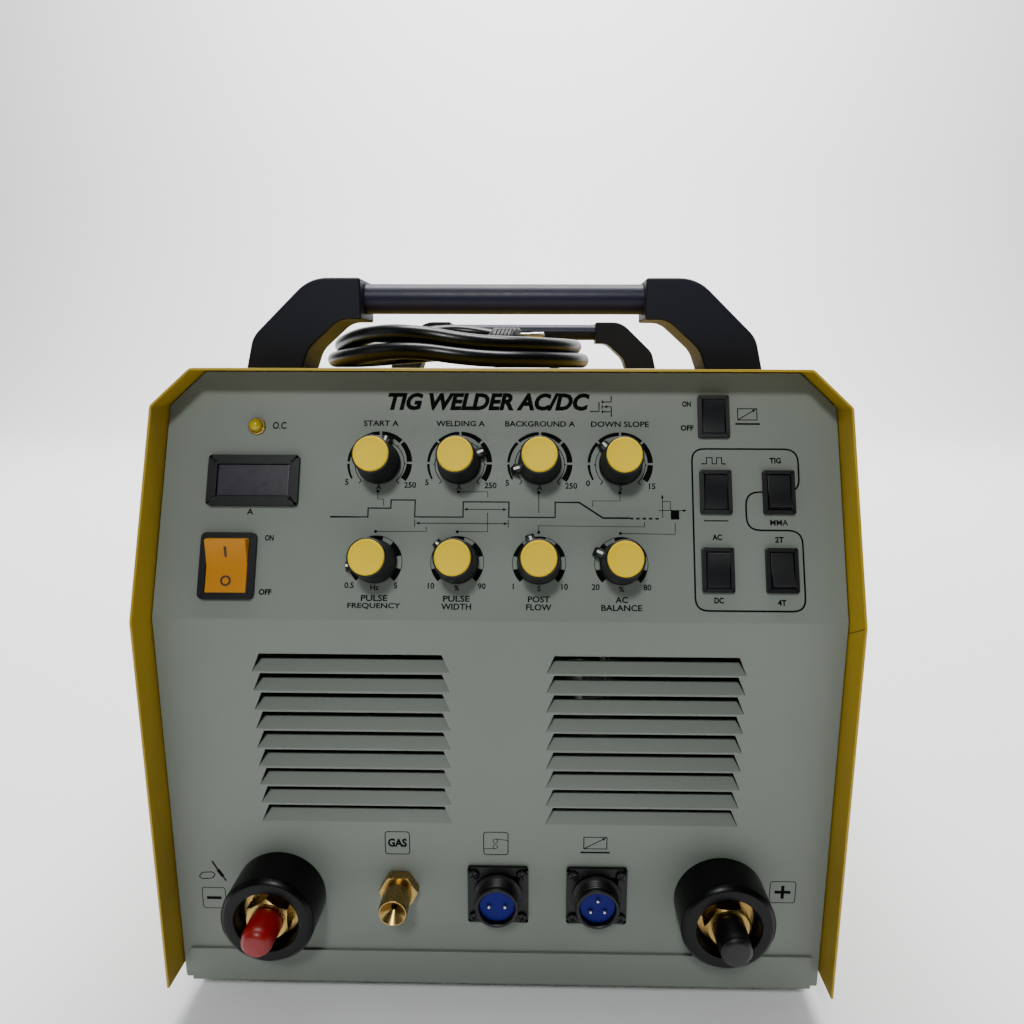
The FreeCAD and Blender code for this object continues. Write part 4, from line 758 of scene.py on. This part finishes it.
fitted(lower_ink, "chassis", black_ink, Matrix.Translation((0, front, 0)))

# ---------------------------------------------------------------- dials
# Eight black moulded knobs with a pointer, each with a yellow disc pressed into its end and a white mark
# at the pointer's tip. They are alike, so one is made and copied.
knob_profile = [(0, -3), (8.4, -3), (8.4, -0.8), (10.0, -0.8), (10.3, -1.2), (10.3, -3.6), (10.1, -4.0),
                (9.9, -4.3), (9.8, -5.2), (9.05, -18.9), (8.95, -19.5), (8.5, -19.9), (8.25, -19.9),
                (8.25, -18.6), (0, -18.6)]
knob_shape = lathed("knob_shape", knob_profile, 72)


def block(name, size, middle=(0, 0, 0)):
    """A box in edit mode with all of it selected, its sizes and place in millimetres."""
    bpy.ops.object.select_all(action="DESELECT")
    bpy.ops.mesh.primitive_cube_add(size=1, location=(0, 0, 0), enter_editmode=True)
    piece = bpy.context.object
    piece.name = name
    bpy.ops.transform.resize(value=[part * mm for part in size])
    bpy.ops.transform.translate(value=[part * mm for part in middle])
    return piece


pointer = block("pointer", (4.4, 5.5, 14.4), (0, -3.55, 7.2))
pick(pointer, "verts", lambda vertex: vertex.co.y < -3 * mm and vertex.co.z > 10 * mm)
bpy.ops.transform.translate(value=(0, 1.0 * mm, -2.0 * mm))
bpy.ops.object.mode_set(mode="OBJECT")
bevelled(pointer, 0.5 * mm, 2)
cut(knob_shape, pointer, "UNION")
cap_profile = [(0, -18.8), (8.15, -18.8), (8.15, -20.2), (7.9, -20.65), (7.4, -20.8), (6.9, -20.6),
               (0, -20.6)]
cap_shape = lathed("cap_shape", cap_profile, 64)
mark_shape = block("mark_shape", (1.2, 0.3, 3.0), (0, -6.25, 11.3))
bpy.ops.mesh.bevel(offset=0.1 * mm, segments=1, affect="EDGES")
bpy.ops.object.mode_set(mode="OBJECT")
knob_plastic = surface("knob_plastic", tone(8, 9, 12), tone(13, 14, 17), 0.46, grain=1800,
                       relief=0.03 * mm, shine=0.25)
cap_plastic = surface("cap_plastic", tone(214, 182, 10), tone(206, 172, 6), 0.5, grain=1500, shine=0.2)
white_ink = surface("white_ink", tone(225, 225, 220), tone(210, 210, 205), 0.5, grain=2500)
for name in dial_names:
    joint = joints[name + "_turn"]
    x, z = dial_places[name]
    pointing = radians(-sum(joint["range_deg"]) / 2)
    place = face @ Matrix.Translation((x * mm, 0, z * mm)) @ Matrix.Rotation(pointing, 4, "Y")
    knob = fitted(copied(knob_shape, "dial_" + name), joint["child"], knob_plastic, place)
    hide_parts("knob_" + name)
    cap = fitted(copied(cap_shape, "disc_" + name), joint["child"], cap_plastic, place)
    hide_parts("knob_cap_" + name)
    fitted(copied(mark_shape, "mark_" + name), joint["child"], white_ink, place)
for shape in (knob_shape, cap_shape, mark_shape):
    bpy.data.objects.remove(shape)


# ---------------------------------------------------------------- rocker switches
# Snap-in switches: a black nylon flange round a well, and a rocker with a shallow V that tips about a pin.
def flange_plate(name, width, height, thick, corner, wall, deep):
    """A rounded frame in front of the panel with an open well behind its window."""
    plate = block(name, (width, thick, height), (0, -thick / 2, 0))
    bpy.ops.mesh.select_mode(type="EDGE")
    pick(plate, "edges", lambda edge: abs(edge.verts[0].co.y - edge.verts[1].co.y) > thick / 2 * mm)
    bpy.ops.mesh.bevel(offset=corner * mm, segments=4, affect="EDGES")
    bpy.ops.mesh.select_mode(type="FACE")
    pick(plate, "faces", lambda side: side.normal.y < -0.9)
    bpy.ops.mesh.inset(thickness=wall * mm, depth=0)
    bpy.ops.mesh.extrude_region_move(TRANSFORM_OT_translate={"value": (0, deep * mm, 0)})
    bpy.ops.mesh.select_mode(type="VERT")
    bpy.ops.object.mode_set(mode="OBJECT")
    return bevelled(plate, 0.35 * mm, 2, 50)


def rocker(name, width, radius, dish, throw):
    """Half a drum with a shallow V across its face, centred on its pin."""
    slope = tan(radians(throw))
    reach = (-dish * slope + sqrt(radius ** 2 * (1 + slope ** 2) - dish ** 2)) / (1 + slope ** 2)
    lip = dish + reach * slope
    outline = [(0, -dish, 0), (0, -lip, reach)]
    top_angle = atan2(reach, -lip)
    for step in range(1, 7):
        angle = top_angle + (radians(45) - top_angle) * step / 6
        outline.append((0, radius * cos(angle), radius * sin(angle)))
    outline += [(0, y, -z) for _, y, z in outline[:0:-1]] + [outline[0]]
    half = [Vector(point) * mm + Vector((-width / 2 * mm, 0, 0)) for point in outline]
    piece = chain(name, half)
    bpy.ops.mesh.remove_doubles(threshold=0.005 * mm)
    bpy.ops.mesh.edge_face_add()
    bpy.ops.mesh.extrude_region_move(TRANSFORM_OT_translate={"value": (width * mm, 0, 0)})
    closed_up(piece)
    return bevelled(piece, 0.5 * mm, 3, 40)


switch_throw = 11
switch_black = surface("switch_nylon", tone(8, 9, 14), tone(12, 13, 19), 0.42, grain=1600, shine=0.3)
amber = surface("amber_plastic", tone(176, 118, 4), tone(164, 104, 2), 0.4, grain=900, shine=0.3)
mark_ink = surface("switch_marks", tone(40, 18, 6), tone(48, 24, 8), 0.5, grain=2500)
small_names = ["remote_switch", "pulse_switch", "tig_mma_switch", "ac_dc_switch", "two_four_step_switch"]
flanges = []
for name in small_names + ["power_switch"]:
    joint = joints[name + "_rock"]
    pivot = on_face @ Vector(joint["pos_m"])
    is_power = name == "power_switch"
    width, height, drum, radius = (26.3, 31.6, 19.4, 13.0) if is_power else (15.0, 21.0, 10.8, 8.4)
    corner, wall = 2.6 if is_power else 1.0, (width - drum) / 2 - 0.25
    flange = flange_plate("flange_" + name, width, height, 2.0, corner, wall, 7.0)
    moved(flange, Matrix.Translation((pivot.x, 0, pivot.z)))
    tilt = radians(-sum(joint["range_deg"]) / 2)
    place = face @ Matrix.Translation(pivot) @ Matrix.Rotation(tilt, 4, "X")
    key = rocker("key_" + name, drum, radius, 1.0, switch_throw)
    if is_power:
        fitted(flange, "chassis", switch_black, face)
        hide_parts("power_switch_housing")
        fitted(key, joint["child"], amber, place)
        ring = lathed("key_ring", [(1.6, -0.12), (2.5, -0.12), (2.5, 0.3), (1.6, 0.3), (1.6, -0.12)], 32)
        bar = block("key_bar", (1.2, 0.5, 5.0))
        bpy.ops.mesh.bevel(offset=0.1 * mm, segments=1, affect="EDGES")
        bpy.ops.object.mode_set(mode="OBJECT")
        for sign, z in ((bar, 6.8), (ring, -6.8)):
            slope = radians(switch_throw) * (1 if z > 0 else -1)
            deep = -(1.0 + abs(z) * tan(radians(switch_throw))) * mm
            moved(sign, Matrix.Translation((0, deep, z * mm)) @ Matrix.Rotation(slope, 4, "X"))
        signs = joined("power_signs", [bar, ring])
        fitted(signs, joint["child"], mark_ink, place)
    else:
        flanges.append(flange)
        fitted(key, joint["child"], switch_black, place)
    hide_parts("rocker_" + name)
flanges = joined("switch_flanges", flanges)
fitted(flanges, "chassis", switch_black, face)
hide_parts("function_switch_housings")

# ---------------------------------------------------------------- meter and overheat lamp
# Digital ammeter in a black snap-in bezel behind a smoked acrylic window, and a yellow lamp above it.
meter_x, meter_z, meter_width, meter_height = -117.7, 65.4, 43.6, 24.7
bezel = flange_plate("meter_frame", meter_width, meter_height, 2.4, 2.0, 4.5, 2.2)
bezel_place = face @ Matrix.Translation((meter_x * mm, 0, meter_z * mm))
fitted(bezel, "chassis", moulded_black, bezel_place)
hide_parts("meter_bezel")
window = block("meter_lens", (34.4, 1.4, 15.6), (0, -0.9, 0))
bpy.ops.mesh.bevel(offset=0.5 * mm, segments=3, affect="EDGES")
bpy.ops.object.mode_set(mode="OBJECT")
smoked = surface("smoked_acrylic", tone(42, 38, 46), tone(50, 46, 54), 0.3, grain=300, relief=0.002 * mm)
fitted(window, "chassis", smoked, bezel_place)
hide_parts("meter_window")

lamp_x, lamp_z = -118, 92.3
ring_profile = [(2.9, 0.5), (4.2, 0.5), (4.2, -0.9), (3.9, -1.2), (3.3, -1.2), (2.9, -0.8), (2.9, 0.5)]
lamp_ring = lathed("lamp_ring", ring_profile, 40)
dome = [(0, 0.4), (2.95, 0.4), (2.95, -2.4)] + [(2.95 * cos(radians(a)), -2.4 - 2.4 * sin(radians(a)))
                                                for a in (15, 30, 45, 60, 75)] + [(0, -4.8)]
lamp_lens = lathed("lamp_dome", dome, 40)
lamp_place = face @ Matrix.Translation((lamp_x * mm, 0, lamp_z * mm))
brass = surface("brass", tone(164, 138, 84), tone(136, 112, 64), 0.28, grain=260, relief=0.01 * mm, metal=1.0)
lens_yellow = surface("lens_yellow", tone(176, 156, 20), tone(150, 128, 10), 0.2, grain=400)
fitted(lamp_ring, "chassis", brass, lamp_place)
fitted(lamp_lens, "chassis", lens_yellow, lamp_place)
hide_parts("overheat_lamp")

# ---------------------------------------------------------------- output terminals
# Each output is a brass stud with two nuts inside a turned black insulator that stands off the panel,
# and a soft PVC cap over the stud: red on the negative side, black on the positive one.
bakelite = surface("insulator_bakelite", tone(3, 4, 6), tone(6, 7, 10), 0.32, grain=900, shine=0.15)
insulator_profile = [(6, 12), (17, 12), (17, 0.2), (22.5, 0.2), (22.5, -19.5), (22.2, -20.4), (20.8, -21.6),
                     (20, -22), (16.6, -22), (15.7, -21.8), (15.2, -21), (15.2, -13), (6, -13), (6, 12)]
washer_profile = [(6.1, -13.1), (13.5, -13.1), (13.5, -12.2), (6.1, -12.2), (6.1, -13.1)]
red_vinyl = surface("red_vinyl", tone(118, 2, 3), tone(102, 1, 2), 0.36, grain=700, shine=0.35)
black_vinyl = surface("black_vinyl", tone(6, 6, 8), tone(10, 10, 13), 0.4, grain=700, shine=0.3)
insulators, studs = [], []
for node, joint_name, turn, waist, tip, vinyl, slot_name in (
        ("negative_terminal_cap", "negative_cap_pull", 0, 7.4, 4.4, red_vinyl, "cap_red"),
        ("positive_terminal_cap", "positive_cap_pull", 30, 7.4, 5.2, black_vinyl, "cap_black")):
    cap_low, cap_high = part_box(node)
    middle = Matrix.Translation(((cap_low.x + cap_high.x) / 2, front, (cap_low.z + cap_high.z) / 2))
    insulators.append(moved(lathed("insulator", insulator_profile, 96), middle))
    nut = hexagon("stud_nut", 19.5, -21, -13.1, turn, 1.3)
    washer = lathed("stud_washer", washer_profile, 48)
    thread = [(0, 11)]
    for pitch in range(20):
        thread += [(6.0, 10 - 2 * pitch), (5.2, 9 - 2 * pitch)]
    stud = lathed("stud_rod", thread[:46] + [(5.0, -35), (0, -35)], 32)
    studs += [moved(shape, middle) for shape in (nut, washer, stud)]
    profile = [(6.25, -21.3), (7.5, -21.3), (7.75, -21.6), (7.7, -24), (waist + 0.1, -32), (waist, -33.5),
               (waist - 0.3, -34.8), (tip + 2.0, -36.1), (tip + 1.0, -36.9), (tip, -37.5), (0, -37.5),
               (0, -36.2), (5.9, -35.4), (6.25, -34.6), (6.25, -21.3)]
    cap = fitted(lathed("vinyl_" + node, profile, 64), joints[joint_name]["child"], vinyl, middle)
    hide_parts(node)
insulators = joined("insulator_bushes", insulators)
fitted(insulators, "chassis", bakelite)
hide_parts("output_insulators")
studs = joined("stud_sets", studs)
fitted(studs, "chassis", brass)
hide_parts("output_studs")

# ---------------------------------------------------------------- gas outlet
# Turned brass fitting for the torch's gas hose: a hexagon against the panel and a nose with a coned mouth.
gas_low, gas_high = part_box("gas_outlet")
gas_place = Matrix.Translation(((gas_low.x + gas_high.x) / 2, front, (gas_low.z + gas_high.z) / 2))
gas_nut = hexagon("gas_nut", 17, -6, 0, 30, 1.0)
nose = lathed("gas_nose", [(1.4, 8), (6.4, 8), (6.4, -5.5), (7, -6.4), (7, -19), (6.5, -20), (6.1, -20),
                           (1.4, -15.4), (1.4, 8)], 64)
gas_fitting = joined("gas_fitting", [gas_nut, nose])
fitted(gas_fitting, "chassis", brass, gas_place)
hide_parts("gas_outlet")

# ---------------------------------------------------------------- control sockets
# Two round aviation sockets on square flanges for the torch switch and the remote control: black die-cast
# shells with a coarse thread, blue insulating inserts and plated pins, each held by four screws.
shell_black = surface("shell_black", tone(9, 9, 10), tone(14, 14, 15), 0.4, grain=1200, shine=0.3)
insert_blue = surface("insert_blue", tone(2, 14, 104), tone(1, 11, 90), 0.5, grain=900, shine=0.15)
shell_low, shell_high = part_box("control_socket_shells")
flange_width, flange_height = 30.0, 30.5
socket_z = (shell_low.z + shell_high.z) / 2
head_profile = [(0, 0.4), (2.7, 0.4), (2.7, -0.8), (2.3, -1.5), (1.5, -1.8), (0, -1.8)]
shells, inserts, socket_pins, socket_screws = [], [], [], []
for x, pin_angles in ((shell_low.x + flange_width / 2 * mm, (90, 270)),
                      (shell_high.x - flange_width / 2 * mm, (0, 120, 240))):
    middle = Matrix.Translation((x, front, socket_z))
    plate = flange_plate("socket_flange", flange_width, flange_height, 2.0, 1.5, 4.6, 0.6)
    thread = [(8.9, 0.5), (9.9, 0.5), (9.9, -1.5), (11.6, -1.5), (12.2, -2.2), (12.2, -3.4), (10.9, -4.0)]
    for pitch in range(4):
        thread += [(10.2, -4.6 - 1.5 * pitch), (10.7, -5.2 - 1.5 * pitch), (10.7, -5.6 - 1.5 * pitch)]
    thread += [(10.7, -11.4), (10.2, -12), (9.3, -12), (8.9, -11.6), (8.9, 0.5)]
    barrel = lathed("socket_barrel", thread, 72)
    shells += [moved(plate, middle), moved(barrel, middle)]
    insert = lathed("socket_insert", [(0, 0.5), (8.7, 0.5), (8.7, -9.2), (8.4, -9.5), (0, -9.5)], 64)
    inserts.append(moved(insert, middle))
    for angle in pin_angles:
        at = Matrix.Translation((3.9 * sin(radians(angle)) * mm, 0, 3.9 * cos(radians(angle)) * mm))
        pin = lathed("socket_pin", [(0, -9), (0.9, -9), (0.9, -10.6), (0.6, -11), (0, -11)], 16)
        well = lathed("pin_well", [(1.2, -9.3), (1.7, -9.3), (1.7, -9.75), (1.2, -9.75), (1.2, -9.3)], 24)
        socket_pins.append(moved(pin, middle @ at))
        inserts.append(moved(well, middle @ at))
    for side in (-1, 1):
        for level in (-1, 1):
            at = Matrix.Translation((side * 11.8 * mm, -2 * mm, level * 11.8 * mm))
            head = lathed("screw_head", head_profile, 24)
            slit = block("slit", (3.4, 2, 0.6), (0, -2.0, 0))
            bpy.ops.object.mode_set(mode="OBJECT")
            across = copied(slit, "across")
            moved(across, Matrix.Rotation(pi / 2, 4, "Y"))
            cut(head, slit)
            cut(head, across)
            turn = Matrix.Rotation(radians(40 * side + 15 * level), 4, "Y")
            socket_screws.append(moved(head, middle @ at @ turn))
for name, pieces, node, slot_name, material in (
        ("socket_shells", shells, "control_socket_shells", "socket_black", shell_black),
        ("socket_inserts", inserts, "control_socket_inserts", "socket_blue", insert_blue),
        ("socket_pins", socket_pins, "", "brass", plated),
        ("socket_fixings", socket_screws, "socket_screws", "socket_black", shell_black)):
    piece = fitted(joined(name, pieces), "chassis", material)
    if node:
        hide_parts(node)

# ---------------------------------------------------------------- cooling fan
# Axial fan on the rear panel: moulded frame and seven-bladed rotor behind a welded wire guard.
fan_plastic = surface("fan_plastic", tone(24, 24, 26), tone(32, 32, 34), 0.5, grain=1500)
wire = surface("guard_wire", tone(170, 172, 174), tone(148, 150, 153), 0.28, grain=500, metal=1.0)
repainted("fan_frame", fan_plastic)
repainted("fan_rotor", fan_plastic)
repainted("fan_guard", wire)

# ---------------------------------------------------------------- inside the case
# Gas valve and hose, potentiometers and boards, heatsinks, transformer and choke. They are seen only
# through the vents, so they keep the plain shapes of the frame.
steel = surface("steel", tone(160, 163, 168), tone(136, 139, 144), 0.35, grain=400, metal=1.0)
aluminium = surface("aluminium", tone(196, 198, 200), tone(176, 178, 182), 0.4, grain=300, metal=1.0,
                    stretch=(1, 0.1, 1))
board_green = surface("board_green", tone(24, 84, 46), tone(18, 68, 38), 0.4, grain=600)
ferrite = surface("ferrite", tone(54, 52, 52), tone(72, 68, 66), 0.6, grain=500)
vinyl_hose = surface("vinyl_hose", tone(206, 208, 200), tone(190, 194, 186), 0.25, grain=400)
for node, material in (("potentiometers", steel), ("control_board", board_green), ("gas_valve_body", brass),
                       ("gas_valve_coil", moulded_black), ("gas_valve_plunger", steel),
                       ("gas_hose", vinyl_hose), ("heatsinks", aluminium), ("inverter_board", board_green),
                       ("main_transformer", ferrite), ("output_choke", ferrite)):
    repainted(node, material)
